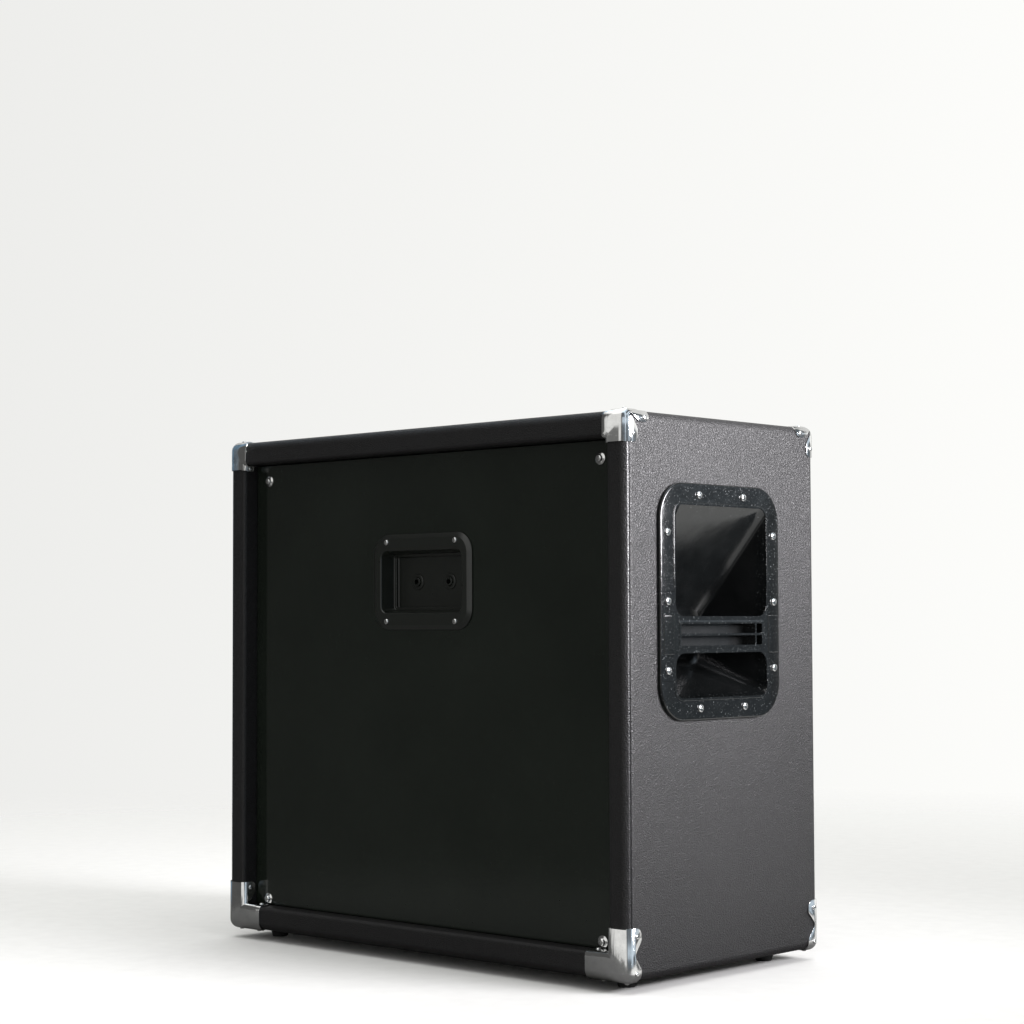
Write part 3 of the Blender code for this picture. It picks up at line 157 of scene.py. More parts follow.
# %% Webs and finishes
class Web:
    """A node tree whose nodes are added one by one, with the place or direction to start from."""

    def __init__(self, tree, start):
        self.tree = tree
        self.place = self.node("ShaderNodeTexCoord", output=start)
        split = {"Vector": self.place}
        self.x = self.node("ShaderNodeSeparateXYZ", inputs=split, output="X")
        self.y = self.node("ShaderNodeSeparateXYZ", inputs=split, output="Y")
        self.z = self.node("ShaderNodeSeparateXYZ", inputs=split, output="Z")

    def node(self, kind, settings=None, inputs=None, output=0):
        """Any node: its settings first, then the values or links of its sockets."""
        made = self.tree.nodes.new(kind)
        for name, value in (settings or {}).items():
            if name == "stops":
                for element, (place, colour) in zip(made.color_ramp.elements, value):
                    element.position = place
                    element.color = (*colour, 1.0)
            else:
                setattr(made, name, value)
        for key, value in (inputs or {}).items():
            if isinstance(value, Amount):
                self.tree.links.new(value.socket, made.inputs[key])
            else:
                made.inputs[key].default_value = value
        return Amount(self, made.outputs[output])

    def blend(self, amount, first, second):
        """From one colour to another as the amount goes from 0 to 1."""
        return self.node("ShaderNodeValToRGB", {"stops": ((0.0, first), (1.0, second))}, {"Fac": amount})

    def vector(self, operation, inputs, output=0):
        return self.node("ShaderNodeVectorMath", {"operation": operation}, inputs, output)

    def ray(self, kind):
        """1 for rays of one kind, Camera or Glossy, and 0 for the others."""
        return self.node("ShaderNodeLightPath", output=f"Is {kind} Ray")

    def noise(self, scale, detail=2.0, rough=0.5, vector=None, output=0):
        sockets = {"Vector": vector or self.place, "Scale": scale, "Detail": detail, "Roughness": rough}
        return self.node("ShaderNodeTexNoise", {}, sockets, output)


class Finish(Web):
    """A material; its fixed values sit on the shader's own sockets."""

    def __init__(self, name, **fixed):
        self.material = bpy.data.materials.new(name)
        self.material.use_nodes = True
        super().__init__(self.material.node_tree, "Object")
        self.shader = self.tree.nodes["Principled BSDF"]
        for key, value in fixed.items():
            self.shader.inputs[key.replace("_", " ")].default_value = value

    def feed(self, name, amount):
        """Links one socket of the shader."""
        self.tree.links.new(amount.socket, self.shader.inputs[name])

    def stretched(self, *scales):
        """The place on the piece, scaled apart along the three axes."""
        return self.vector("MULTIPLY", {0: self.place, 1: scales})

    def drawn(self, scales, detail=2.0, rough=0.5):
        """Noise drawn out along an axis, for grain, streaks and scratches."""
        return self.noise(1.0, detail, rough, self.stretched(*scales))

    def bump(self, height, distance, strength=1.0):
        """Feeds a height, in parts of distance, to the shader's Normal."""
        sockets = {"Strength": strength, "Distance": distance, "Height": height}
        self.feed("Normal", self.node("ShaderNodeBump", {}, sockets))


print("finishes are written as sums")

# %% [markdown]
# ## Tools of the bench
# Each piece is made as by hand: a start shape is added at its place, faces or edges are picked, and
# an operator works on what is picked. These few helpers only save typing. Everything is deselected
# first, because an operator acts on all that is selected, and the loaded CAD nodes are.

# %% Holding an object and starting a shape
def close_edit():
    """Leaves edit mode, so that the mesh is up to date."""
    if bpy.context.mode != "OBJECT":
        bpy.ops.object.mode_set(mode="OBJECT")


def let_go():
    """Leaves nothing selected."""
    close_edit()
    bpy.ops.object.select_all(action="DESELECT")


def hold(obj):
    """Makes this the only selected object."""
    let_go()
    obj.select_set(True)
    bpy.context.view_layer.objects.active = obj
    return obj


def settle(obj, name):
    """Names the object and moves its place into its mesh."""
    hold(obj)
    obj.name = name
    obj.data.name = name
    bpy.ops.object.transform_apply(location=True, rotation=True, scale=True)
    return obj


def block(name, low, high):
    """A box between two corners, as a start."""
    let_go()
    size = [b - a for a, b in zip(low, high)]
    centre = [(a + b) / 2 for a, b in zip(low, high)]
    bpy.ops.mesh.primitive_cube_add(size=1.0, location=centre, scale=size)
    return settle(bpy.context.active_object, name)


def rod(name, radius, depth, centre=(0, 0, 0), points=40):
    """An upright cylinder, as a start."""
    let_go()
    bpy.ops.mesh.primitive_cylinder_add(vertices=points, radius=radius, depth=depth, location=centre)
    return settle(bpy.context.active_object, name)


print("a block or a rod is a start")

# %% [markdown]
# Faces and edges are picked by a test on the middle of each and on the item itself. The operators
# that are used most get a short name with only the values that matter here.

# %% Picking and shaping
def pick(obj, kind, test):
    """Opens edit mode with the faces, edges or points selected whose middle passes the test."""
    hold(obj)
    bpy.ops.object.mode_set(mode="EDIT")
    bpy.ops.mesh.select_mode(type=kind)
    bpy.ops.mesh.select_all(action="DESELECT")
    build = bmesh.from_edit_mesh(obj.data)
    items = {"VERT": build.verts, "EDGE": build.edges, "FACE": build.faces}[kind]
    found = []
    for item in items:
        points = [item.co] if kind == "VERT" else [vert.co for vert in item.verts]
        if test(sum(points, Vector()) / len(points), item):
            found.append(item)
    for item in found:
        item.select_set(True)
    build.select_flush_mode()
    bmesh.update_edit_mesh(obj.data)
    return len(found)


def everything(middle, item):
    return True


def facing_down(middle, face):
    return face.normal.z < -0.9


def above(height):
    """A test for edges that lie wholly above a height."""
    return lambda middle, edge: all(vert.co.z > height for vert in edge.verts)


def below(height):
    """A test for edges that lie wholly below a height."""
    return lambda middle, edge: all(vert.co.z < height for vert in edge.verts)


def extrude(x, y, z):
    bpy.ops.mesh.extrude_region_move(TRANSFORM_OT_translate={"value": (x, y, z)})


def inset(*steps):
    """Insets the picked faces step by step; each step is (thickness, depth)."""
    for thickness, depth in steps:
        bpy.ops.mesh.inset(thickness=thickness, depth=depth)


def rounded(obj, test, offset, segments):
    """Bevels the edges that pass the test, and counts them."""
    count = pick(obj, "EDGE", test)
    bpy.ops.mesh.bevel(offset=offset, segments=segments, affect="EDGES")
    close_edit()
    return count


def agree():
    """Turns all faces of the mesh in edit mode the same way, and leaves edit mode."""
    bpy.ops.mesh.select_all(action="SELECT")
    bpy.ops.mesh.normals_make_consistent(inside=False)
    close_edit()


print("picks and shaping are ready")

# %% [markdown]
# Whole objects are given a wall or soft edges by modifiers, cut by one another, copied and joined. A
# mirrored or lofted solid can come out inside out, so its volume is measured: where it is negative,
# all faces are turned round.

# %% Working on whole objects
def apply(obj, kind, **settings):
    """Adds a modifier and applies it."""
    hold(obj)
    modifier = obj.modifiers.new(kind.lower(), kind)
    for name, value in settings.items():
        setattr(modifier, name, value)
    bpy.ops.object.modifier_apply(modifier=modifier.name)
    return obj


def walled(obj, thickness, offset=-1.0, even=True):
    """Gives a skin its wall, inwards, or outwards where offset is 1."""
    return apply(obj, "SOLIDIFY", thickness=thickness, offset=offset, use_even_offset=even)


def softened(obj, width, degrees, segments=2):
    """Rounds every edge that turns by more than an angle."""
    return apply(obj, "BEVEL", width=width, segments=segments, limit_method="ANGLE",
                 angle_limit=radians(degrees))


def cut(obj, tool, operation="DIFFERENCE"):
    """One Boolean with another object, which is used up."""
    apply(obj, "BOOLEAN", object=tool, operation=operation, solver="EXACT")
    bpy.data.objects.remove(tool)
    return obj


def copied(obj, name, place=None):
    """A copy with its own mesh, put in its place."""
    hold(obj)
    bpy.ops.object.duplicate()
    twin = bpy.context.active_object
    if place is not None:
        twin.matrix_world = place
    return settle(twin, name)


def merged(objects, name):
    """Several objects as one; a single one only gets its name."""
    hold(objects[0])
    for obj in objects[1:]:
        obj.select_set(True)
    if len(objects) > 1:
        bpy.ops.object.join()
    return settle(bpy.context.active_object, name)


def put_away(*models):
    """Removes models whose copies are in place."""
    for model in models:
        bpy.data.objects.remove(model)


def faced_out(obj):
    """Turns the faces round where a solid came out inside out."""
    build = bmesh.new()
    build.from_mesh(obj.data)
    inside_out = build.calc_volume(signed=True) < 0
    build.free()
    if inside_out:
        pick(obj, "FACE", everything)
        bpy.ops.mesh.flip_normals()
        close_edit()
    return obj


def stand(place, outward):
    """Stands a piece made flat on the floor on any face: its +Z points outward, its +Y up."""
    out = Vector(outward).normalized()
    up = Vector((0, 0, 1)) if abs(out.z) < 0.5 else Vector((0, 1, 0))
    turned = Matrix((up.cross(out), up, out)).transposed().to_4x4()
    return Matrix.Translation(place) @ turned


print("bench tools ready")

# %% [markdown]
# A flat plate with rounded corners is the start of the dish, the handles and the corner patterns.
# A circle with one point for each corner is pulled to the corners, and each corner is bevelled by
# its own radius. Extruding the plate makes a solid pattern to cut with.

# %% Plates and patterns with rounded corners
AXES = {"x": Matrix(((0, 0, 1, 0), (1, 0, 0, 0), (0, 1, 0, 0), (0, 0, 0, 1))), "z": Matrix.Identity(4)}


def plate(name, corners, steps=6, out=0.0):
    """A flat face at height out; each corner is (across, up, radius)."""
    let_go()
    bpy.ops.mesh.primitive_circle_add(vertices=len(corners), fill_type="NGON")
    made = settle(bpy.context.active_object, name)
    for vert, (across, up, _) in zip(made.data.vertices, corners):
        vert.co = (across, up, out)
    for index, (across, up, radius) in enumerate(corners):
        if radius <= 0:
            continue
        here = Vector((across, up))
        before = Vector(corners[index - 1][:2]) - here
        after = Vector(corners[(index + 1) % len(corners)][:2]) - here
        spot = Vector((across, up, out))
        pick(made, "VERT", lambda middle, vert: (middle - spot).length < 1e-6)
        bpy.ops.mesh.bevel(offset=radius / tan(before.angle(after) / 2), segments=steps, affect="VERTICES")
    close_edit()
    return made


def outline(left, low, right, high, radius):
    """Four corners with one radius."""
    return [(left, low, radius), (right, low, radius), (right, high, radius), (left, high, radius)]


def rectangle(width, height, radius, rise=0.0):
    return outline(-width / 2, rise - height / 2, width / 2, rise + height / 2, radius)


def pattern(name, corners, axis, low, high, steps=6):
    """A plate made solid between two heights, then turned so that it is extruded along one axis."""
    made = plate(name, corners, steps, low)
    pick(made, "FACE", everything)
    extrude(0, 0, high - low)
    agree()
    made.matrix_world = AXES[axis]
    return faced_out(settle(made, name))


print("plates and patterns ready")

# %% [markdown]
# ## Finishes
# Black vinyl is embossed with a leather grain: pebbles about 2.5 mm across with creases between
# them. Cells of a Voronoi texture, pulled out of line by a little noise, give the pebbles, and two
# more noises crumple them. Its colour hardly changes, so the grain is a matter of height and gloss.
# The edges of the box are worn by handling, and each upright edge, where the sheet is stretched
# round the board, has one narrow crest that is almost smooth and shines.

# %% Black vinyl
def make_vinyl():
    vinyl = Finish("black_vinyl", IOR=1.5, Specular_IOR_Level=0.45)
    pulled = vinyl.vector("MULTIPLY_ADD", {0: vinyl.noise(300.0, output="Color"),
                                           1: (0.0016, 0.0016, 0.0016), 2: vinyl.place})
    cells = vinyl.node("ShaderNodeTexVoronoi", {"feature": "DISTANCE_TO_EDGE"},
                       {"Vector": pulled, "Scale": 380.0}, "Distance")
    pebble = cells.between(0.0, 0.34)
    creased = vinyl.noise(560.0, 1.0)
    height = pebble.power(0.6) * 0.7 + vinyl.noise(2600.0, 3.0) * 0.25 + creased * 1.3
    edge_x = abs(vinyl.x).between(HALF_WIDTH - 0.012, HALF_WIDTH - 0.002)
    edge_y = abs(vinyl.y).between(HALF_DEPTH - 0.012, HALF_DEPTH - 0.002)
    edge_z = abs(vinyl.z - MIDDLE).between(HALF_HEIGHT - 0.012, HALF_HEIGHT - 0.002)
    corner = (edge_x * edge_y).larger(edge_x * edge_z).larger(edge_y * edge_z)
    worn = corner * vinyl.noise(60.0, 4.0).between(0.45, 0.7)
    crest_x = abs(vinyl.x).between(HALF_WIDTH - 0.0022, HALF_WIDTH - 0.0014)
    crest_y = abs(vinyl.y).between(HALF_DEPTH - 0.0066, HALF_DEPTH - 0.0054)
    polish = crest_x * crest_y
    shade = vinyl.noise(9.0, 3.0) * 0.5 + (1.0 - pebble) * 0.2 + worn * 0.5
    vinyl.feed("Base Color", vinyl.blend(shade, (0.0032, 0.0030, 0.0033), (0.0096, 0.0088, 0.0098)))
    vinyl.feed("Roughness", 0.34 + (1.0 - pebble) * 0.14 + creased * 0.10 - worn * 0.06 - polish * 0.22)
    vinyl.bump(height * (1.0 - polish * 0.85), 0.00042)
    return vinyl.material


black_vinyl = make_vinyl()
print("vinyl:", len(black_vinyl.node_tree.nodes), "nodes")

# %% [markdown]
# The back panel is sprayed black, with a thin glossy coat over a satin one. Spray leaves a very fine
# orange peel and some unevenness in gloss, and a few specks of dust settle in it. The painted wood
# behind the grille gets the same finish.

# %% Satin black paint
def make_paint():
    paint = Finish("satin_black_paint", IOR=1.45, Specular_IOR_Level=0.2, Coat_Weight=0.7,
                   Coat_Roughness=0.05)
    cloudy = paint.noise(6.0, 4.0, 0.6)
    specks = paint.noise(420.0).between(0.70, 0.78)
    paint.feed("Base Color", paint.blend(cloudy.between(0.3, 0.7) * 0.8 + specks * 0.3,
                                         (0.0050, 0.0072, 0.0050), (0.0090, 0.0120, 0.0090)))
    paint.feed("Roughness", 0.20 + cloudy * 0.08 + specks * 0.2)
    paint.bump(paint.noise(750.0, 3.0, 0.6), 0.00003, 0.5)
    return paint.material


satin_black = make_paint()
print("paint:", len(satin_black.node_tree.nodes), "nodes")

# %% [markdown]
# The corners and screws are bright nickel over steel. Nickel is slightly warm and never perfectly
# smooth: rolling leaves faint streaks, and handling leaves short scratches and a dull film. The cap
# of a corner is pressed slightly crowned over the width of the rim. That is too slight to model, so
# a height that falls off towards the outer edge goes to the bump and bends what the cap mirrors.

# %% Nickel plate
def make_nickel():
    nickel = Finish("nickel_plate", Metallic=1.0)
    streaks = nickel.drawn((900.0, 900.0, 60.0), 3.0, 0.6)
    waves = nickel.drawn((95.0, 95.0, 14.0))
    scratch = nickel.drawn((60.0, 1500.0, 1500.0)).between(0.68, 0.74)
    film = nickel.noise(70.0, 5.0, 0.65)
    nickel.feed("Base Color", nickel.blend(film.between(0.3, 0.75), (0.77, 0.77, 0.76), (0.62, 0.62, 0.62)))
    nickel.feed("Roughness", 0.08 + film.between(0.4, 0.8) * 0.12 + scratch * 0.12)
    rim = (abs(nickel.x) - 0.299).larger(0.0).smaller(0.030)
    crown = (rim * -0.26 - rim * rim * 2.5) * nickel.z.between(0.0, 0.12)
    grain = waves * 8.0 + streaks * 0.3 + scratch * 0.3 + film * 0.5
    nickel.bump(crown + grain * 0.00005, 1.0)
    return nickel.material


nickel_plate = make_nickel()
print("nickel:", len(nickel_plate.node_tree.nodes), "nodes")

# %% [markdown]
# Handles, dish and sockets are moulded from black plastic. The mould gives it a fine pebble and slow
# waves. A handle's flange is glossy, slightly crowned towards its two long edges, and holds dust and
# hair scratches. Its pale specks of dust are laid on thickly enough to serve as painted glints as well,
# while the depth of its pocket is duller and clean. The dish is satin all over.

# %% Moulded black plastic
HANDLE_Y = HALF_DEPTH - 0.158
OPENING_WIDTH = 0.164


def make_plastic(name, gloss, low, high):
    plastic = Finish(name, IOR=1.5, Specular_IOR_Level=0.6)
    pebble = plastic.noise(1300.0)
    waves = plastic.noise(55.0, 3.0)
    outside = abs(plastic.x).between(HALF_WIDTH - 0.012, HALF_WIDTH - 0.001)
    # Pale specks of dust on the flanges, partly real dust and partly painted glints of the flange's orange
    # peel.
    dust = plastic.noise(520.0, 3.0).between(0.63, 0.71) * outside
    hairs = plastic.drawn((300.0, 2500.0, 500.0)).between(0.69, 0.73) * outside
    plastic.feed("Base Color", plastic.blend(waves * 0.1 + dust * 0.9, low, high))
    plastic.feed("Roughness", gloss + waves * 0.05 + (1.0 - outside) * 0.12 + hairs * 0.12 + dust * 0.2)
    beside = (abs(plastic.y - HANDLE_Y) - OPENING_WIDTH / 2).larger(0.0)
    crown = beside * beside * outside * -1.9
    plastic.bump(crown + (pebble * 0.5 + waves * 10.0 + hairs * 0.3) * 0.00003, 1.0)
    return plastic.material


handle_plastic = make_plastic("handle_plastic", 0.09, (0.0010, 0.0013, 0.0014), (0.0450, 0.0490, 0.0500))
dish_plastic = make_plastic("dish_plastic", 0.14, (0.0066, 0.0082, 0.0064), (0.0200, 0.0210, 0.0200))
print("plastic:", len(handle_plastic.node_tree.nodes), "nodes")

# %% [markdown]
# The wood is birch plywood. A face shows long, drawn-out grain with slow rings in it, and an edge
# shows its thin light and dark plies. Grain is noise stretched along the board, a wave in rings
# gives the figure, and a fine slanting wave, laid on faintly, suggests the plies.

# %% Plywood
def make_plywood():
    wood = Finish("birch_plywood", IOR=1.45, Specular_IOR_Level=0.35)
    grain = wood.drawn((9.0, 14.0, 220.0), 6.0, 0.65)
    rings = wood.node("ShaderNodeTexWave", {"wave_type": "RINGS", "rings_direction": "X"},
                      {"Vector": wood.stretched(1.0, 4.0, 9.0), "Scale": 3.0, "Distortion": 7.0,
                       "Detail": 3.0}, "Fac")
    plies = wood.node("ShaderNodeTexWave", {"bands_direction": "DIAGONAL"},
                      {"Vector": wood.place, "Scale": 110.0, "Distortion": 0.6}, "Fac")
    tone = grain * 0.7 + rings * 0.25 + plies * 0.10
    wood.feed("Base Color", wood.blend(tone.between(0.2, 0.9), (0.60, 0.44, 0.27), (0.33, 0.21, 0.11)))
    wood.feed("Roughness", 0.62 + grain * 0.2)
    wood.bump(grain * 0.7 + plies * 0.3, 0.0002, 0.5)
    return wood.material


plywood = make_plywood()
print("plywood:", len(plywood.node_tree.nodes), "nodes")

# %% [markdown]
# Grille cloth is a plain weave of black threads, two in each 3 mm. Two waves at right angles, one
# over and the other under in turn, give the threads, and slubs make some of them thicker than their
# neighbours for a few centimetres.

# %% Grille cloth's weave
def make_cloth():
    cloth = Finish("grille_cloth_black", Sheen_Weight=0.12, Sheen_Roughness=0.5, Specular_IOR_Level=0.25)
    pitch = 2 * pi / 0.0030
    warp = (cloth.x * pitch).sine()
    weft = (cloth.z * pitch).sine()
    over = (warp * weft).between(-0.25, 0.25)
    thread = abs(warp) * over + abs(weft) * (1.0 - over)
    slub = cloth.drawn((18.0, 40.0, 620.0), 2.0, 0.6).larger(cloth.drawn((620.0, 40.0, 18.0), 2.0, 0.6))
    cloth.feed("Base Color", cloth.blend(thread * 0.55 + slub.between(0.45, 0.75) * 0.45,
                                         (0.0020, 0.0020, 0.0022), (0.0200, 0.0200, 0.0210)))
    cloth.feed("Roughness", 0.95 - thread * 0.2)
    cloth.bump(thread + slub * 1.2, 0.0004)
    return cloth.material


grille_cloth_black = make_cloth()
print("cloth:", len(grille_cloth_black.node_tree.nodes), "nodes")

# %% [markdown]
# Foam, rubber and hook-and-loop strip are all dull and black. They differ in the size of their pores,
# in how dull they are and in how much dust they hold, so one recipe serves for all three.

# %% Foam, rubber and hook-and-loop
def make_soft(name, low, high, grain, rough):
    soft = Finish(name, Specular_IOR_Level=0.35)
    pores = soft.node("ShaderNodeTexVoronoi", {}, {"Vector": soft.place, "Scale": grain}, "Distance")
    dust = soft.noise(35.0, 4.0)
    soft.feed("Base Color", soft.blend(pores * 0.5 + dust * 0.5, low, high))
    soft.feed("Roughness", rough + dust * 0.15)
    soft.bump(pores + dust * 0.3, 0.3 / grain, 0.6)
    return soft.material


sealing_foam = make_soft("sealing_foam", (0.012, 0.012, 0.012), (0.045, 0.045, 0.047), 900.0, 0.85)
foot_rubber = make_soft("foot_rubber", (0.010, 0.010, 0.010), (0.028, 0.028, 0.028), 1500.0, 0.62)
hook_and_loop = make_soft("hook_and_loop", (0.006, 0.006, 0.007), (0.030, 0.030, 0.032), 1200.0, 0.85)
print("foam, rubber and hook-and-loop ready")

# %% [markdown]
# Every finished piece gets its finish, rides on the cabinet's one body, and stands in for its plainer
# CAD node. A piece with broad flat faces asks for weighted normals: they keep a face flat right up to
# its rounded edge, so that it mirrors the room without a false gradient. The CAD nodes that stay only
# get their finish.

# %% Finishing a piece
def done(obj, material, slot, *nodes, degrees=35, level=False):
    """Finishes a piece; level is for broad flat faces."""
    hold(obj)
    bpy.ops.object.shade_smooth_by_angle(angle=radians(degrees))
    if level:
        apply(obj, "WEIGHTED_NORMAL", keep_sharp=True)
    obj.data.materials.clear()
    obj.data.materials.append(material)
    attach(obj, "root")
    if nodes:
        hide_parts(*nodes)
    return obj


wooden = ["top_board", "bottom_board", "left_side_board", "right_side_board", "centre_brace"]
for edge in ("top", "bottom", "left", "right"):
    wooden += ["back_batten_" + edge, "front_batten_" + edge]
for names, material in ((wooden, plywood), (("back_panel", "baffle_board", "grille_frame"), satin_black),
                        (("jack_socket_left", "jack_socket_right"), dish_plastic)):
    for name in names:
        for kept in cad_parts[name].material_slots:
            kept.material = material
print("CAD nodes that stay have their finishes")

# %% [markdown]
# ## Vinyl covering
# On the real cabinet one sheet of vinyl is glued round the box and folded in over both rims. Here a
# box of the outer size has its back and front faces inset by the rim and pushed in, and the floor
# of each pocket is taken out. Rounding the outer edges by 10 mm and the rims' inner edges by 5 mm
# gives the soft, padded look of glued vinyl. The thin wall comes last.

# %% The skin of the box
def make_skin():
    skin = block("vinyl_covering_piece", (-HALF_WIDTH, -HALF_DEPTH, BOTTOM), (HALF_WIDTH, HALF_DEPTH, TOP))
    for end, reach in ((1, 0.030), (-1, 0.024)):
        pick(skin, "FACE", lambda middle, face: middle.y * end > HALF_DEPTH - TINY)
        inset((RIM, 0.0))
        extrude(0, -end * reach, 0)
        bpy.ops.mesh.delete(type="FACE")
    outer = rounded(skin, lambda middle, edge: sum((
        abs(middle.x) > HALF_WIDTH - TINY, abs(middle.y) > HALF_DEPTH - TINY,
        abs(middle.z - MIDDLE) > HALF_HEIGHT - TINY)) == 2, OUTER_EDGE, 8)
    inner = rounded(skin, lambda middle, edge: (
        abs(middle.y) > HALF_DEPTH - TINY and edge.calc_length() > 0.3
        and (abs(abs(middle.x) - HALF_WIDTH + RIM) < 1e-4
             or abs(abs(middle.z - MIDDLE) - HALF_HEIGHT + RIM) < 1e-4)), RIM_EDGE, 5)
    print("outer edges", outer, "and rim edges", inner, "rounded")
    return skin


skin = make_skin()
steel_sheet = copied(skin, "steel_sheet")
vinyl_piece = walled(skin, 0.0012)
print("vinyl faces:", len(vinyl_piece.data.polygons))

# %% [markdown]
# A handle drops into a hole in each side of the cabinet. The boards are CAD nodes and have the hole
# already, so only the vinyl is still to be cut. A solid pattern of the hole is passed through each
# side and taken away with a Boolean, because an opening with rounded corners is quicker to cut out
# of a finished wall than to build into it.

# %% Holes for the handles
HANDLE_Z = BOTTOM + 0.4042
upright = rectangle(0.172, 0.220, 0.016, HANDLE_Z)
hole = [(back + HANDLE_Y, up, radius) for back, up, radius in upright]
for side, hand in HANDS:
    cut(vinyl_piece, pattern(hand + "_hole", hole, "x", side * HALF_WIDTH - 0.02, side * HALF_WIDTH + 0.02))
done(vinyl_piece, black_vinyl, "black_vinyl", "vinyl_covering", degrees=30, level=True)
print("vinyl with its two holes:", len(vinyl_piece.data.polygons), "faces")

# %% [markdown]
# ## Screws
# All the screws are cross-head screws with a low dome. A short cylinder has its top rim rounded,
# its underside drawn in and pulled down to a shank and a point, and a tapered cross is cut in its
# top. One screw is made for each size and copied to its places.

# %% One screw of each size
def make_screw(name, head, height, shank, length):
    """A cross-head screw standing on the floor, its head's underside at height 0."""
    screw = rod(name, head, height, (0, 0, height / 2), 28)
    rounded(screw, above(height - 1e-6), height * 0.72, 5)
    pick(screw, "FACE", facing_down)
    inset((head - shank, 0.0))
    extrude(0, 0, -length * 0.8)
    extrude(0, 0, -length * 0.2)
    bpy.ops.transform.resize(value=(0.15, 0.15, 1.0), center_override=(0, 0, -length))
    wide = head * 0.13
    long = head * 0.52
    for across, along in ((wide, long), (long, wide)):
        slot = block("cross", (-across, -along, height * 0.45), (across, along, height + 0.001))
        pick(slot, "FACE", facing_down)
        bpy.ops.transform.resize(value=(0.6, 0.6, 1.0), center_override=(0, 0, height * 0.45))
        cut(screw, slot)
    return screw


handle_screw = make_screw("handle_screw", 0.0043, 0.0022, 0.0018, 0.020)
corner_screw = make_screw("corner_screw", 0.0027, 0.0015, 0.0012, 0.0105)
dish_screw = make_screw("dish_screw", 0.0034, 0.0020, 0.0016, 0.015)
panel_screw = make_screw("panel_screw", 0.0042, 0.0026, 0.0020, 0.028)
foot_screw = make_screw("foot_screw", 0.0048, 0.0022, 0.0020, 0.024)
print("five sizes of screw,", len(handle_screw.data.polygons), "faces each")

# %% [markdown]
# The screws of one fitting are one object. Each is turned a little further than the last, because no
# one lines up the slots.

# %% Putting screws in place
def screws(name, model, spots, *nodes):
    """Copies of a screw at (place, outward) spots, joined."""
    made = []
    for index, (place, outward) in enumerate(spots):
        twist = Matrix.Rotation(0.4 + 1.3 * index, 4, "Z")
        made.append(copied(model, name + "_part", stand(Vector(place), outward) @ twist))
    return done(merged(made, name), nickel_plate, "nickel_plate", *nodes, degrees=30)


print("screws can be placed")

# %% [markdown]
# ## Handles
# Each handle is two mouldings. The cup is a wide flange with a deep pocket for the hand, whose roof
# slopes down to a low floor. The bar is let into the flange on two ears and crosses the opening.
# A handle is made lying on its back with +Y up and +Z out, and then stood on the cabinet's side.
# The pocket comes first. It narrows from the opening to its floor, and two plates of different size,
# bridged along their edges, give that taper in one step.

# %% The pocket for the hand
OPENING_HEIGHT = 0.212
FLANGE_OUT = GAP + 0.0045
POCKET_FLOOR = -0.085


def tapered(name, mouth, high, floor, low, steps=10):
    """A solid between two plates of different shape."""
    solid = merged([plate(name, mouth, steps, high), plate("end", floor, steps, low)], name)
    pick(solid, "EDGE", lambda middle, edge: edge.is_boundary)
    bpy.ops.mesh.bridge_edge_loops()
    agree()
    return faced_out(solid)


def pocket(name, top, wall):
    """The space for the hand, grown by a wall."""
    mouth = rectangle(OPENING_WIDTH + 2 * wall, OPENING_HEIGHT + 2 * wall, 0.012 + wall)
    floor = rectangle(0.130 + 2 * wall, 0.062 + 2 * wall, 0.020 + wall, -0.042)
    return tapered(name, mouth, top, floor, POCKET_FLOOR - wall)


print("pocket", round((FLANGE_OUT - POCKET_FLOOR) * 1000, 1), "mm deep")

# %% [markdown]
# The cup is a thick rounded plate with a raised lip round its opening. The tapered block, grown by
# the wall, is joined on behind, and the same block at its own size hollows it out. That leaves an
# even wall all round, as a moulding has.

# %% The cup of a handle
def make_cup():
    cup = pattern("handle_cup", rectangle(0.215, 0.261, 0.040), "z", GAP, FLANGE_OUT, 14)
    rounded(cup, above(FLANGE_OUT - TINY), 0.0021, 5)
    lip = pattern("lip", rectangle(OPENING_WIDTH + 0.0056, OPENING_HEIGHT + 0.0056, 0.0148), "z",
                  FLANGE_OUT - 0.001, FLANGE_OUT + 0.0008, 10)
    rounded(lip, above(FLANGE_OUT + 0.0007), 0.0007, 3)
    cut(cup, lip, "UNION")
    cut(cup, pocket("pocket_wall", FLANGE_OUT - 0.0015, 0.0024), "UNION")
    hollow = pocket("pocket", FLANGE_OUT, 0.0)
    rounded(hollow, below(POCKET_FLOOR + 1e-4), 0.008, 6)
    pick(hollow, "FACE", lambda middle, face: face.normal.z > 0.9 and middle.z > 0)
    extrude(0, 0, 0.004)
    close_edit()
    return cut(cup, faced_out(hollow))


handle_cup = make_cup()
print("cup faces:", len(handle_cup.data.polygons))

# %% [markdown]
# The bar's ears lie in a shallow recess of the flange. Ears and bar together are an H-shaped plate:
# a block with a rounded notch above the bar and one below it. The same plate, made a little larger,
# cuts the recess later, so the two always fit.

# %% The ears of a bar
EAR_OUT = FLANGE_OUT + GAP
BAR_TOP = -0.0163
BAR_BOTTOM = -0.0568


def ears(name, grow, low, high):
    """Two ears joined across the opening, with rounded notches above and below the bar."""
    made = block(name, (-0.1047 - grow, -0.0865 - grow, low), (0.1047 + grow, 0.0105 + grow, high))
    inner = OPENING_WIDTH / 2 - grow
    radius = 0.014 + grow
    for start, start_radius, stop, stop_radius in ((BAR_TOP + grow, radius, 0.05, 0),
                                                   (-0.13, 0, BAR_BOTTOM - grow, radius)):
        notch = [(-inner, start, start_radius), (inner, start, start_radius),
                 (inner, stop, stop_radius), (-inner, stop, stop_radius)]
        cut(made, pattern("notch", notch, "z", low - 0.01, high + 0.01, 8))
    return made


print("bar", round((BAR_TOP - BAR_BOTTOM) * 1000, 1), "mm high")

# %% [markdown]
# The bar itself is a deep block, rounded for the fingers, with a low pad at each end. Pockets in its
# front leave thin webs between them, so that the plastic is equally thick everywhere and cools
# without sink marks.

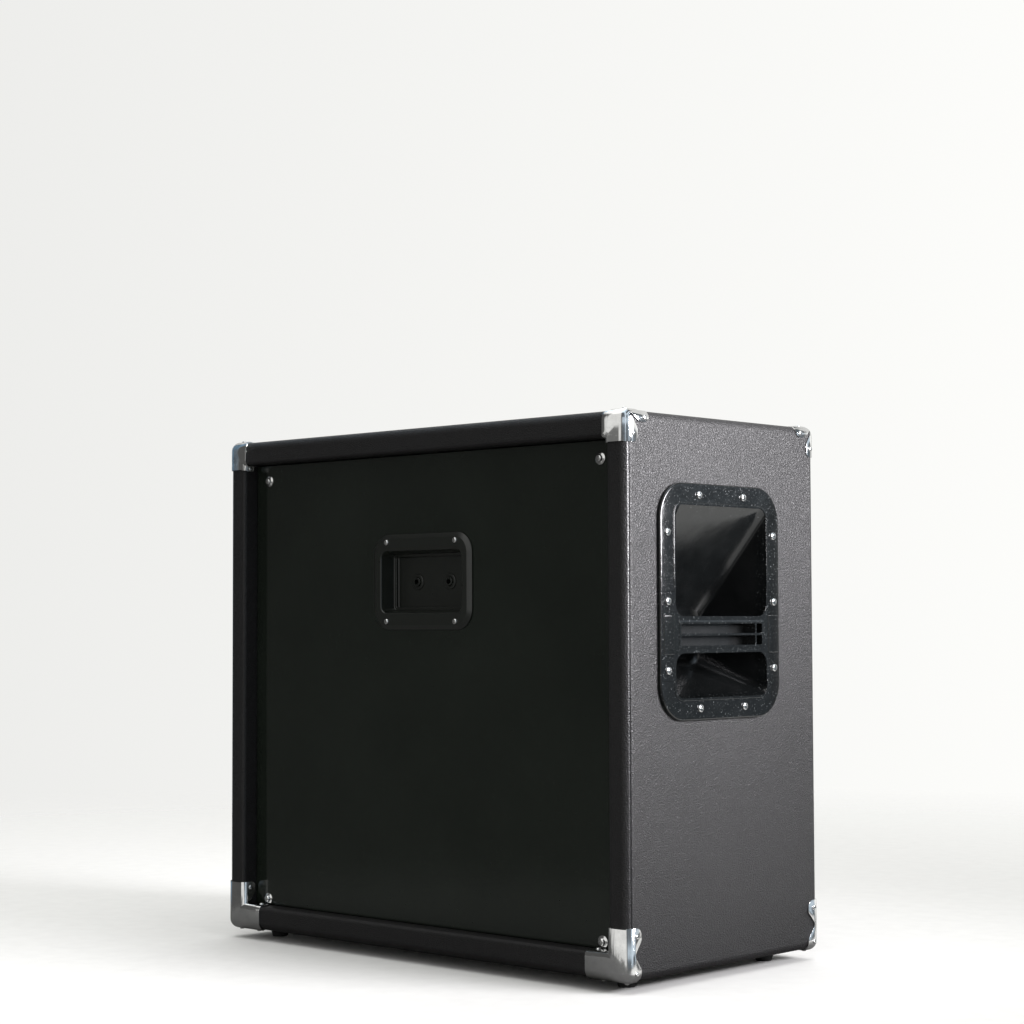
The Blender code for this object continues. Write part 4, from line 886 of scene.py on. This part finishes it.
# %% The bar of a handle
BAR_MIDDLE = (BAR_TOP + BAR_BOTTOM) / 2
WEB_X = 0.0615
HALF_WEB = 0.00125


def make_bar():
    bar = block("handle_bar", (-0.0765, BAR_BOTTOM, EAR_OUT - 0.0245), (0.0765, BAR_TOP, EAR_OUT + 0.0004))
    rounded(bar, lambda middle, edge: abs(middle.x) < 1e-4, 0.0065, 7)
    cut(bar, ears("ears", 0.0, EAR_OUT - 0.0025, EAR_OUT), "UNION")
    for side in (-1, 1):
        near, far = sorted((side * 0.0850, side * 0.1030))
        pad = block("side_pad", (near, BAR_BOTTOM - 0.001, EAR_OUT - 0.001),
                    (far, BAR_TOP + 0.001, EAR_OUT + 0.001))
        rounded(pad, lambda middle, edge: middle.z > EAR_OUT + 0.0009, 0.0008, 3)
        cut(bar, pad, "UNION")
    for left, right in ((-0.073, WEB_X - HALF_WEB), (WEB_X + HALF_WEB, 0.073)):
        for end in (-1, 1):
            low, high = sorted((BAR_MIDDLE + end * HALF_WEB, BAR_MIDDLE + end * 0.012))
            cut(bar, pattern("bar_pocket", outline(left, low, right, high, 0.0012), "z", EAR_OUT - 0.018,
                             EAR_OUT + 0.01, 3))
    return softened(bar, 0.0006, 50)


handle_bar = make_bar()
print("bar faces:", len(handle_bar.data.polygons))

# %% [markdown]
# Both sides use the same mouldings, turned round and not mirrored, as they are bought. Four screws
# hold the flange at its ends, two beside the opening, and four go through the bar's ears.

# %% Recess, screws and both sides
END_SCREW = (0.040, 0.1175)
SIDE_SCREW = (0.0955, 0.0753)
cut(handle_cup, ears("recess", GAP, EAR_OUT - 0.0028, 0.03))
softened(handle_cup, 0.0003, 50)
spots = [(x * END_SCREW[0], y * END_SCREW[1], FLANGE_OUT) for y in (-1, 1) for x in (-1, 1)]
spots += [(x * SIDE_SCREW[0], SIDE_SCREW[1], FLANGE_OUT) for x in (-1, 1)]
spots += [(x * SIDE_SCREW[0], y, EAR_OUT) for y in (-SIDE_SCREW[1], 0.0) for x in (-1, 1)]
for side, hand in HANDS:
    place = stand((side * HALF_WIDTH, HANDLE_Y, HANDLE_Z), (side, 0, 0))
    for model, moulding in ((handle_cup, "_handle_cup"), (handle_bar, "_handle_bar")):
        done(copied(model, hand + moulding + "_piece", place), handle_plastic, "black_plastic",
             hand + moulding, level=True)
    screws(hand + "_handle_screws", handle_screw, [(place @ Vector(spot), (side, 0, 0)) for spot in spots])
put_away(handle_cup, handle_bar, handle_screw)
print("two handles with", len(spots), "screws each")

# %% [markdown]
# ## Corner protectors
# These are pressed from thin steel, so they follow the cabinet's rounded edges closely. The skin of
# the box, thickened outwards, is the steel. A pattern for each kind of corner keeps the part of it
# that the real fitting has: a cap over the rim, round lobes on the faces, and small tabs bent in
# over the rim's inner side. The pattern is a few blocks and plates joined. Their ends are a little
# uneven, so that no two planes of the Boolean fall together.

# %% The steel sheet and the parts of a pattern
STEEL_OUT = 0.0017
WRAP = 0.0065
INNER = RIM + 0.004
walled(steel_sheet, STEEL_OUT, 1.0)


def two_lobes(reach, first, second, length):
    """Two round lobes side by side along an edge, drawn in between them; (reach, along) corners."""
    middle = (first + second) / 2
    return [(-0.0042, -0.0048, 0), (reach - 0.003, -0.0048, 0), (reach, first - 0.004, 0.004),
            (reach, first + 0.005, 0.006), (0.0077, middle, 0.006), (reach, second - 0.005, 0.006),
            (reach, length, 0.008), (-0.0042, length, 0)]


def cap_blocks(length):
    """The cap over the rim, the wrap round its edge and the heel in the corner."""
    return [block("cap", (-0.0060, -0.0062, -0.0064), (INNER, 0.0030, length)),
            block("wrap", (-0.0058, -0.0054, -0.0052), (0.0120, WRAP, length - 0.0004)),
            block("heel", (-0.0050, -0.0048, -0.0046), (WRAP + 0.0001, WRAP + 0.0002, WRAP + 0.0003))]


def inner_tab(corners):
    """The tab bent in over the rim's inner side."""
    return pattern("inside_tab", corners, "x", RIM - 0.0041, INNER + 0.0005)


print("steel sheet faces:", len(steel_sheet.data.polygons))

# %% [markdown]
# A top corner covers the end of the rim. On the side it has two lobes, one along each edge, and its
# outline is drawn in between them; one more lobe lies on top.

# %% Pattern of a top corner
def top_pattern(tab):
    """Rim cap, wrap, two lobes on the side, one on top and a tab inside the rim."""
    length = 0.0345
    upright = [(-0.0045, 0.0040, 0), (WRAP, 0.0040, 0), (0.0172, 0.0200, 0.008),
               (0.0172, length + 0.0005, 0.006), (-0.0045, length + 0.0005, 0)]
    level = [(0.0058, -0.0044, 0), (0.0367, -0.0044, 0), (0.0367, 0.0127, 0.007), (0.0200, 0.0127, 0.004),
             (0.0078, 0.0030, 0)]
    over = [(-0.0043, -0.0042, 0), (0.0260, -0.0042, 0), (0.0260, 0.0240, 0.010), (-0.0043, 0.0240, 0)]
    inside = [(-0.0047, RIM - 0.0035, 0), (tab, RIM - 0.0035, 0), (tab, length + 0.0030, 0.004),
              (-0.0047, length + 0.0002, 0)]
    return cap_blocks(length) + [pattern("upright_lobe", upright, "x", -0.0056, 0.0040),
                                 pattern("level_lobe", level, "x", -0.0055, 0.0041),
                                 pattern("over_lobe", over, "z", -0.0053, 0.0042),
                                 inner_tab(inside)]


print("pattern of a top corner ready")

# %% [markdown]
# A bottom corner is larger, because it takes the knocks: its cap runs along both edges of the rim,
# two pairs of lobes hold it on the side and underneath, and it has a tab on each inner side.

# %% Pattern of a bottom corner
def bottom_pattern(tab, reach):
    """Two legs of the rim cap, lobes on the side and underneath, and tabs on both inner sides."""
    length = 0.0565
    foot = 0.061
    beneath = [(along, out, radius) for out, along, radius in two_lobes(0.0186, 0.0130, 0.0458, 0.0545)]
    inside = [(-0.0047, RIM - 0.0010, 0), (0.0050, RIM - 0.0010, 0), (tab, 0.0440, 0.004),
              (tab, length + 0.0005, 0.006), (-0.0047, length + 0.0005, 0)]
    toe_tab = [(RIM + 0.0060, -0.0049, 0), (foot - 0.0003, -0.0049, 0), (foot - 0.0003, tab, 0.005),
               (RIM + 0.0120, tab, 0.005)]
    beside = two_lobes(reach, 0.0088, 0.0487, length + 0.0010)
    return cap_blocks(length) + [
        block("toe", (-0.0063, -0.0059, -0.0061), (foot, 0.0031, INNER + 0.0002)),
        block("under", (-0.0051, -0.0043, -0.0057), (foot - 0.0006, WRAP + 0.0004, 0.0120)),
        pattern("side_lobes", beside, "x", -0.0056, 0.0040),
        pattern("under_lobes", beneath, "z", -0.0053, 0.0042),
        inner_tab(inside), pattern("toe_tab", toe_tab, "z", RIM - 0.0043, INNER + 0.0007)]


print("pattern of a bottom corner ready")

# %% [markdown]
# One fitting of each kind is cut on the left side, its edges are softened where the press rounds
# them, and the right-hand one is its mirror image. Small screws sit on the lobes and the tabs. Their
# spots, like the patterns, are measured from the corner inwards.

# %% Cutting the corners
CORNER_SPOTS = {1: [((-1, 0, 0), (0, 0.0291, 0.0078)), ((-1, 0, 0), (0, 0.0097, 0.0254)),
                    ((0, 0, -1), (0.013, 0.013, 0))],
                -1: [((-1, 0, 0), (0, 0.0110, 0.0487)), ((-1, 0, 0), (0, 0.0108, 0.0092)),
                     ((0, 0, -1), (0.013, 0.0116, 0)), ((0, 0, -1), (0.0458, 0.012, 0))]}
INNER_SPOTS = {1: [((1, 0, 0), (RIM, 0.0085, RIM + 0.0044))],
               -1: [((1, 0, 0), (RIM, 0.0102, 0.0500)), ((0, 0, 1), (0.052, 0.0102, RIM))]}
BACK_TAB = {1: 0.0140, -1: 0.0180}
FRONT_TAB = 0.0075
REACH = {1: 0.0186, -1: 0.0217}


def corner_place(side, face, end):
    """Where a pattern made at a corner's origin, running inwards along +X, +Y and +Z, belongs."""
    origin = Vector((side * HALF_WIDTH, face * HALF_DEPTH, TOP if end > 0 else BOTTOM))
    return Matrix.Translation(origin) @ Matrix.Diagonal((-side, -face, -end, 1.0))


def make_corner(face, end):
    tab = BACK_TAB[end] if face > 0 else FRONT_TAB
    parts = top_pattern(tab) if end > 0 else bottom_pattern(tab, REACH[face])
    region = parts[0]
    for part in parts[1:]:
        cut(region, part, "UNION")
    region.matrix_world = corner_place(-1, face, end)
    faced_out(settle(region, "corner_region"))
    return softened(cut(copied(steel_sheet, "corner"), region, "INTERSECT"), 0.0004, 55)


for end, height in ((1, "top"), (-1, "bottom")):
    for face, where in ((1, "back"), (-1, "front")):
        corner = make_corner(face, end)
        spots = CORNER_SPOTS[end] + (INNER_SPOTS[end] if face > 0 else [])
        for side, hand in HANDS:
            name = f"corner_{height}_{where}_{hand}"
            piece = faced_out(copied(corner, name + "_piece", Matrix.Diagonal((-side, 1.0, 1.0, 1.0))))
            done(piece, nickel_plate, "nickel_plate", name, degrees=30)
            place = corner_place(side, face, end)
            turn = place.to_3x3()
            screws(name + "_screws", corner_screw,
                   [(place @ (Vector(spot) + Vector(out) * STEEL_OUT), turn @ Vector(out))
                    for out, spot in spots])
        print(height, where, "corner:", len(corner.data.polygons), "faces")
        put_away(corner)
put_away(steel_sheet, corner_screw)

# %% [markdown]
# ## Back panel's fittings
# Four screws on dished washers hold the panel. A washer is a thin ring: a flat ring of faces whose
# inner edge is raised, with a thin wall.

# %% Panel screws and washers
def make_washer(name, outer, inner, height):
    let_go()
    bpy.ops.mesh.primitive_circle_add(vertices=40, radius=outer, fill_type="NGON")
    washer = settle(bpy.context.active_object, name)
    pick(washer, "FACE", everything)
    inset((0.0004, 0.0003), (outer - inner - 0.0012, height - 0.0008), (0.0008, 0.0001))
    bpy.ops.mesh.delete(type="FACE")
    close_edit()
    return faced_out(walled(washer, 0.0004, even=False))


washer = make_washer("cup_washer", 0.0070, 0.0026, 0.0016)
for height, end in ((BOTTOM + 0.037, "bottom"), (TOP - 0.0495, "top")):
    for side, hand in HANDS:
        x = side * (HALF_WIDTH - 0.054)
        name = f"{end}_{hand}"
        place = stand((x, PANEL_FACE + GAP + 0.0004, height), (0, 1, 0))
        done(copied(washer, "panel_washer_piece_" + name, place), nickel_plate, "nickel_plate",
             "panel_washer_" + name)
        screws("panel_screw_piece_" + name, panel_screw,
               [((x, PANEL_FACE + GAP + 0.0016, height), (0, 1, 0))], "panel_screw_" + name)
put_away(washer, panel_screw)
print("four panel screws on washers")

# %% [markdown]
# The jack dish is a shallow moulded tray with a sloping edge. It is inset step by step from one
# plate: skirt, slope, flat, lip, drafted wall, shelf and floor. Its well isn't the same shape as its
# flange, so the two outlines are bridged. Two bores in its floor let the sockets through.

# %% Jack dish
DISH_Z = BOTTOM + 0.430
SOCKET_X = 0.02685
DISH_SCREW = (0.0572, 0.04705)


def make_dish():
    flange = plate("jack_dish", rectangle(0.163, 0.113, 0.024), 10, GAP)
    pick(flange, "FACE", everything)
    extrude(0, 0, 0.0011)
    inset((0.0006, 0.0005), (0.0044, 0.0027), (0.0008, 0.0002))
    bpy.ops.mesh.delete(type="FACE")
    pick(flange, "FACE", lambda middle, face: middle.z < GAP + TINY and abs(face.normal.z) > 0.9)
    bpy.ops.mesh.delete(type="FACE")
    well = plate("well", rectangle(0.1365, 0.0755, 0.0095), 10, GAP + 0.0045)
    pick(well, "FACE", everything)
    inset((0.0005, -0.0001), (0.0006, -0.0005), (0.0004, -0.0010), (0.0030, -0.0168), (0.0006, -0.0005),
          (0.0022, 0.0), (0.0005, -0.0004), (0.0001, -0.0034), (0.0008, -0.0006))
    dish = merged([flange, well], "jack_dish")
    pick(dish, "EDGE", lambda middle, edge: edge.is_boundary and middle.z > GAP + 0.004)
    bpy.ops.mesh.bridge_edge_loops()
    agree()
    faced_out(walled(dish, 0.0024))
    for side in (-1, 1):
        cut(dish, rod("bore", 0.0059, 0.02, (side * SOCKET_X, 0, -0.0217)))
    return dish


dish = make_dish()
place = stand((0, PANEL_FACE, DISH_Z), (0, 1, 0))
dish_piece = done(copied(dish, "jack_dish_piece", place), dish_plastic, "black_plastic", "jack_dish",
                  level=True)
for end, height in ((-1, "bottom"), (1, "top")):
    for side, hand in HANDS:
        spot = (side * DISH_SCREW[0], PANEL_FACE + FLANGE_OUT, DISH_Z + end * DISH_SCREW[1])
        name = f"{height}_{hand}"
        screws("dish_screw_piece_" + name, dish_screw, [(spot, (0, 1, 0))], "dish_screw_" + name)
put_away(dish, dish_screw)
print("dish faces:", len(dish_piece.data.polygons))

# %% [markdown]
# A round nut with flutes holds each socket. A cylinder is bored, its front edge is rounded, and
# every other facet of its side is pushed in a little for the flutes.

# %% Socket nuts
def make_nut():
    nut = rod("jack_nut", 0.0095, 0.0042, (0, 0, 0.0021), 48)
    rounded(nut, above(0.0041), 0.0009, 3)
    order = sorted((face for face in nut.data.polygons if abs(face.normal.z) < 0.1),
                   key=lambda face: Vector(face.center[:2]).angle_signed(Vector((1, 0))))
    flutes = [face.index for face in order[1::2]]
    pick(nut, "FACE", lambda middle, face: face.index in flutes)
    bpy.ops.mesh.inset(thickness=0.0001, depth=-0.0004, use_individual=True)
    return cut(nut, rod("bore", 0.0058, 0.02))


nut = make_nut()
for side, hand in HANDS:
    place = stand((side * SOCKET_X, PANEL_FACE + GAP - 0.022 + GAP, DISH_Z), (0, 1, 0))
    done(copied(nut, "jack_nut_piece_" + hand, place), dish_plastic, "socket_plastic", "jack_nut_" + hand)
put_away(nut)
print("two fluted nuts")

# %% [markdown]
# ## Feet
# Four tapered rubber feet, each with a screw up in its recess. A cone is cut off flat, its edges are
# rounded, and its floor face is inset and pushed up for the recess.

# %% Rubber feet
FOOT_X = 0.2865
FOOT_Y = 0.1235


def make_foot():
    let_go()
    bpy.ops.mesh.primitive_cone_add(vertices=40, radius1=0.0096, radius2=0.0120, depth=0.0127,
                                    location=(0, 0, 0.00635))
    foot = settle(bpy.context.active_object, "foot")
    rounded(foot, below(TINY), 0.0012, 4)
    rounded(foot, above(0.0126), 0.0006, 2)
    pick(foot, "FACE", lambda middle, face: facing_down(middle, face) and middle.z < TINY)
    inset((0.0024, 0.0), (0.0004, -0.0004))
    extrude(0, 0, 0.0056)
    close_edit()
    return foot


foot = make_foot()
for face, where in ((1, "back"), (-1, "front")):
    for side, hand in HANDS:
        spot = Vector((side * FOOT_X, face * FOOT_Y, 0.0))
        name = f"{where}_{hand}"
        piece = copied(foot, "foot_piece_" + name, Matrix.Translation(spot))
        done(piece, foot_rubber, "rubber", "foot_" + name)
        screws("foot_screw_piece_" + name, foot_screw, [(spot + Vector((0, 0, 0.0060)), (0, 0, -1))],
               "foot_screw_" + name)
put_away(foot, foot_screw)
print("four feet")

# %% [markdown]
# ## Grille and soft pieces
# The grille cloth is pulled over the front of its frame and stapled behind, so it is a flat sheet
# with its edges turned back. It starts as a shallow box without a back, with its edges rounded as
# the frame's are, and gets its thickness last.

# %% Grille cloth
CLOTH_X = HALF_WIDTH - RIM - 0.001
CLOTH_Z = HALF_HEIGHT - RIM - 0.001
CLOTH_FRONT = -0.1615
CLOTH_TURN = 0.0110


def make_grille_cloth():
    cloth = block("grille_cloth_piece", (-CLOTH_X, CLOTH_FRONT, MIDDLE - CLOTH_Z),
                  (CLOTH_X, CLOTH_FRONT + CLOTH_TURN, MIDDLE + CLOTH_Z))
    pick(cloth, "FACE", lambda middle, face: face.normal.y > 0.9)
    bpy.ops.mesh.delete(type="FACE")
    rounded(cloth, lambda middle, edge: all(vert.co.y < CLOTH_FRONT + TINY for vert in edge.verts), 0.0012, 4)
    return walled(cloth, 0.0008, even=False)


cloth = done(make_grille_cloth(), grille_cloth_black, "black_cloth", "grille_cloth")

# %% [markdown]
# The foam seal is squeezed between the battens and the back panel, so its edges bulge. The strips of
# hook-and-loop are two thin layers, one on the baffle and one on the grille frame. All of them start
# as blocks in the boxes of their CAD nodes, and a Bevel modifier rounds their edges. Nothing more is
# needed here, because they are thin, flat and hidden between wooden faces.

# %% Foam seal and hook-and-loop strips
SEAL_WIDTH = 0.012


def make_seal():
    low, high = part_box("back_panel_seal")
    seal = block("back_panel_seal_piece", low, high)
    inwards = Vector((SEAL_WIDTH, -0.01, SEAL_WIDTH))
    cut(seal, block("hollow", low + inwards, high - inwards))
    return softened(seal, 0.0009, 60, 4)


def make_strip(name, low, high):
    middle = (low.y + high.y) / 2
    layers = []
    for near, far in ((low.y, middle - 0.00005), (middle + 0.00005, high.y)):
        layer = block("layer", (low.x, near, low.z), (high.x, far, high.z))
        rounded(layer, lambda middle, edge: abs(edge.verts[0].co.y - edge.verts[1].co.y) > 1e-4, 0.003, 4)
        layers.append(softened(layer, 0.0005, 30))
    return merged(layers, name)


seal = done(make_seal(), sealing_foam, "foam", "back_panel_seal")
for where in ("top", "bottom"):
    node = "grille_fastener_strip_" + where
    done(make_strip("hook_and_loop_strip_" + where, *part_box(node)), hook_and_loop, "black_cloth", node)
print("seal and strips done")

# %% [markdown]
# ## Stage
# The floor is pale and plain. Near the cabinet it is matt and takes its shadow; further away it
# fades out, so that only the white of the background is left and no horizon shows. Glossy faces see
# it painted much darker, a painted dark reflection that keeps the black pieces black down to the
# floor, except for two discs left pale, painted highlights that brighten the steel of the lower corners.

# %% Floor
let_go()
bpy.ops.mesh.primitive_plane_add(size=16.0, location=(0, 0, 0))
floor = settle(bpy.context.active_object, "floor")
ground = Finish("pale_floor", Roughness=0.85, Specular_IOR_Level=0.2)


def away_from(x, y):
    """Distance on the floor from a point."""
    gap = ground.vector("SUBTRACT", {0: ground.place, 1: (x, y, 0.0)})
    return ground.vector("LENGTH", {0: gap}, "Value")


# Painted reflection: glossy rays see the floor painted dark, except in two discs left pale as painted
# highlights for the steel corners.
painted_dark_reflection = away_from(-0.75, -0.05).between(0.28, 0.42).smaller(away_from(-0.5, -0.6).between(0.25, 0.45))
tone = (ground.noise(40.0, 3.0) * 0.1 + 0.9) * (1.0 - ground.ray("Glossy") * painted_dark_reflection * 0.85)
ground.feed("Base Color", ground.blend(tone, (0.0, 0.0, 0.0), (0.85, 0.85, 0.84)))
behind = (ground.x * 0.68 + ground.y * 0.73).between(0.70, 1.20)
fade = away_from(0.0, 0.0).between(0.8, 2.6).larger(behind)
clear = ground.node("ShaderNodeBsdfTransparent")
mix = ground.node("ShaderNodeMixShader", {}, {0: fade, 1: Amount(ground, ground.shader.outputs[0]), 2: clear})
ground.tree.links.new(mix.socket, ground.tree.nodes["Material Output"].inputs["Surface"])
floor.data.materials.append(ground.material)
print("floor laid")

# %% [markdown]
# ## Light
# A face of the cabinet shows what stands opposite it, so the light is a room. It could be built of
# lamps and cards kept out of the picture. Here the world is drawn by direction instead, which takes
# only sums. A bearing is an angle in degrees: 0 is straight out of the back panel, and 90 straight
# out of the side that shows.

# %% Directions in the world
world = bpy.data.worlds.new("studio")
bpy.context.scene.world = world
world.use_nodes = True
sky = Web(world.node_tree, "Generated")
across = sky.x.maths("ARCTAN2", sky.x * -1.0, sky.y)


def strip(value, low, high, soft):
    """1 between two values, with soft ends."""
    return value.between(low - soft, low + soft) * (1.0 - value.between(high - soft, high + soft))


def bearing(low, high, soft):
    """1 between two bearings, with soft ends."""
    return strip(across, radians(low), radians(high), radians(soft))


print("the world is drawn by bearing")

# %% [markdown]
# Opposite the side that shows stands a dim wall. Vague things on it, a slit of light, a door and a
# shelf give the glossy handle something to mirror, as any real room does.

# %% The wall opposite the side
side_wall = bearing(50, 150, 6)
things = sky.noise(11.0)
slit = bearing(74, 96, 3) * (0.45 + sky.z.between(-0.10, 0.08) * 0.55)
door = bearing(122, 130, 2) * strip(sky.z, -0.25, 0.06, 0.02)
shelf = bearing(50, 170, 6) * sky.z.between(0.066, 0.082) * (1.0 - sky.z.between(0.16, 0.30))
wall = side_wall * (things.between(0.36, 0.64) * 0.17 + 0.01)
wall = wall.larger(slit * 0.9).larger(door * 0.8).larger(shelf * 0.8)
print("wall opposite the side drawn")

# %% [markdown]
# Bearing -43 is what the back panel mirrors to the camera. The room is dark there, so the panel
# stays almost black. A window beside it, with two bright panes in its lower part, lights the curved
# steel caps. White walls stand behind the cabinet, and one strip of daylight is blue. The ceiling is
# bright, a little less so towards the front. What the camera sees directly is a plain pale backdrop.

# %% Window, white walls and ceiling
window = bearing(-26, 42, 4)
panes = (bearing(-25, -21, 1.5) + bearing(15, 40, 3)) * 0.8 + window * 0.12
panes = panes.larger(window * sky.z.between(0.0, 0.04))
white_wall = across.between(radians(-106), radians(-116)) + across.between(radians(152), radians(162))
daylight = bearing(-110, -88, 4)
walls = 0.10 + wall + panes * 0.85 + white_wall * 0.75 + daylight * 0.30
ceiling = sky.z.between(0.72, 0.94) * sky.y.between(-0.70, -0.40)
room = walls * (1.0 - ceiling) + ceiling * 2.2
seen = sky.ray("Camera")
sideways = sky.vector("DOT_PRODUCT", {0: sky.place, 1: to_right}, "Value")
backdrop = 0.85 + sideways.between(-0.23, 0.23) * 0.13
level = seen * backdrop + (1.0 - seen) * room
tint = sky.blend((side_wall * 0.5 + daylight) * sky.ray("Glossy"), (1.0, 1.0, 0.98), (0.48, 0.74, 1.0))
background = sky.tree.nodes["Background"]
sky.tree.links.new(tint.socket, background.inputs["Color"])
sky.tree.links.new(level.socket, background.inputs["Strength"])
print("world:", len(sky.tree.nodes), "nodes")

# %% [markdown]
# One softbox stands to the right of the picture, a little above the cabinet. It grazes the side, so
# the grain of the vinyl stands out, and leaves it brighter at its top than at its foot.

# %% Softbox
softbox_light = bpy.data.lights.new("softbox_on_the_right", "AREA")
softbox_light.shape = "RECTANGLE"
softbox_light.size = 0.95
softbox_light.size_y = 0.6
softbox_light.energy = 19.0
softbox_light.color = (1.0, 0.98, 1.01)
softbox_light.spread = radians(70)
softbox = bpy.data.objects.new("softbox_on_the_right", softbox_light)
bpy.context.scene.collection.objects.link(softbox)
softbox.location = (-1.585, -0.337, 0.80)
aim = Vector((-0.33, 0.0, 0.72))
softbox.rotation_euler = (aim - softbox.location).to_track_quat("-Z", "Y").to_euler()
print("softbox at", [round(part, 2) for part in softbox.location])
